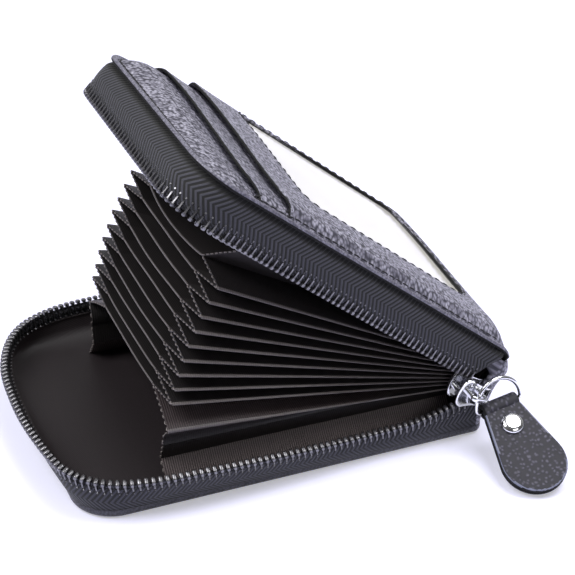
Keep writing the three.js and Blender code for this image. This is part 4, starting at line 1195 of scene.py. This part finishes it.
hung = lambda points: turned(turned(points, -ringLook["roll"], 1), -ringLook["lean"], 0)
wide, corner, arcHeight = ringLook["halfWidth"], ringLook["corner"], ringLook["height"] - ringLook["corner"]
pivotSide = wide * math.sqrt(1 - ((ringLook["hang"] - corner) / arcHeight) ** 2)
bar = np.array(ringLook["pivot"]) + hung((pivotSide, 0, -ringLook["hang"]))
line = evenly(np.concatenate([
    [(corner - wide, 0), (wide - corner, 0)],
    cornerArc(wide - corner, corner, corner, -90, 0, 9),
    cornerArc(0, 0, 1, 0, 180, 41) * [wide, arcHeight] + [0, corner],
    cornerArc(corner - wide, corner, corner, 180, 270, 9),
]), 111)[:-1]
line = bar + hung(gridOf(line[:, 0], 0, line[:, 1]))
shape = newShape()
addTube(shape, line, ringLook["wire"], 16, hung((0, 1, 0)), closed=True)
placePiece("pullRingWire", shape, [brightNickel], "ring", "bright_nickel", "pull_ring", sharp=60)

tabLook = {"turn": 29.61, "length": 26.3, "layer": 1.22, "endRadius": 8.6, "neck": 5.2, "neckLength": 1.5,
           "loop": 1.45, "edgeRound": 0.5, "layerGap": 0.04, "rivetAt": 6.4, "swell": 0.10, "swellAt": 3.4,
           "swellWide": 2.0, "rim": (0.1, 0.42)}
onTab = lambda points: hung(turned(points, tabLook["turn"], 0))
far, loop, neck, neckLength = (tabLook[key] for key in ("length", "loop", "neck", "neckLength"))
endRadius = tabLook["endRadius"]
endCentre = far - endRadius
rise = endCentre - neckLength
touch = math.atan2(rise, neck) - math.acos(endRadius / math.hypot(neck, rise))
touchOut, touchAt = endRadius * math.cos(touch), endCentre - endRadius * math.sin(touch)


def tabHalfWidth(d):  # half the tab's width at a distance from the bar
    taper = neck + (touchOut - neck) * (d - neckLength) / (touchAt - neckLength)
    end = np.sqrt(np.clip(endRadius ** 2 - (d - endCentre) ** 2, 0, None))
    return np.where(d < neckLength, neck, np.where(d < touchAt, taper, end))


layerAt = tabLook["layer"] / 2 + tabLook["layerGap"]
meet = math.asin(layerAt / loop)
along = np.concatenate([far - np.array([0, 0.02, 0.08, 0.2, 0.4, 0.7, 1.1, 1.7, 2.4, 3.3]),
                        np.linspace(far - 4.5, loop * math.cos(meet) + 0.4, 40)])
swell = lambda d: tabLook["swell"] * math.exp(-((d - tabLook["swellAt"]) / tabLook["swellWide"]) ** 2)
path = [(d, layerAt + swell(d), d) for d in along]  # one strap, round the bar
path += [(loop * math.cos(a), loop * math.sin(a), 0.0) for a in np.linspace(meet, 2 * math.pi - meet, 29)]
path += [(d, -layerAt, d) for d in along[::-1]]
path = np.array(path)
run, rise, fromBar = path.T[..., None]
direction = unit(np.gradient(path[:, :2], axis=0))
nearSide = np.array([0, 0.004, 0.015, 0.04, 0.08, 0.14])
farSide = [0.86, 0.92, 0.96, 0.985, 0.996, 1]
share = np.concatenate([nearSide, np.linspace(0.2, 0.8, 17), farSide]) * 2 - 1
wide = tabHalfWidth(fromBar)
x = wide * share
toEnd = np.where(fromBar > endCentre, endRadius - np.hypot(x, fromBar - endCentre), 9.0)
toEdge = np.minimum(np.clip(wide - np.abs(x), 0, None), toEnd)
half = tabLook["layer"] / 2 * roundedOff(toEdge, tabLook["edgeRound"], 0.02)
flat = gridOf(x, -run, rise)
normals = gridOf(np.zeros_like(x), -direction[:, 1:], -direction[:, :1])


def cutEdge(r, c):  # the sides are inked, with a line round the upper layer's rim painted light as its highlight
    inset = toEdge[r:r + 2, c:c + 2].mean()
    rimFrom, rimTo = tabLook["rim"]
    return 0 if inset > rimTo else 1 if inset > rimFrom and r < len(along) else 2


shape = newShape()
addSheet(shape, bar + onTab(flat), half, flat[..., :2], onTab(normals), cutEdge)
placePiece("pullTabStrap", shape, [tabLeather, burnishedEdgeHighlight, inkedEdgeAndShade], "tab", "tab_leather", "pull_tab")

rivetLook = {"radius": 3.0, "height": 1.2, "back": 2.7, "seat": 1.34, "brim": 0.35}
onRivet = (bar + onTab((0, -tabLook["rivetAt"], 0)), onTab((0, 0, 1)), onTab((1, 0, 0)))
r, h, b, seat, brim = (rivetLook[key] for key in ("radius", "height", "back", "seat", "brim"))
cap = [(1.0, -1.5), (1.0, seat - 0.1), (r - 0.25, seat - 0.05), (r, seat + 0.1), (r, seat + 0.3)]
cap += [(r * s, seat + brim + (h - brim) * (1 - s ** 5)) for s in np.linspace(0.995, 0.01, 18)]
shape = newShape()
addLathe(shape, cap, *onRivet, 48)
placePiece("rivetCapDome", shape, [brightNickel], "tab", "bright_nickel", "rivet_cap")
disc = [(1.1, 0.05), (b - 0.15, 0), (b, -0.15), (b - 0.05, -0.5), (b - 0.4, -0.75), (1.2, -0.8), (0.9, -0.55),
        (0.05, -0.5)]
shape = newShape()
addLathe(shape, [(out, rise - seat) for out, rise in disc], *onRivet, 40)
placePiece("rivetBackDisc", shape, [brightNickel], "tab", "bright_nickel", "rivet_back")
print("slider, ring and tab ready")

# The part's own solids: the zip's stop, and the boards inside the covers
for name, finish in (("zip_stop", darkNickel), ("base_board", pulpBoard), ("lid_board", pulpBoard)):
    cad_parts[name].data.materials.clear()
    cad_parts[name].data.materials.append(finish)

print("pieces placed")
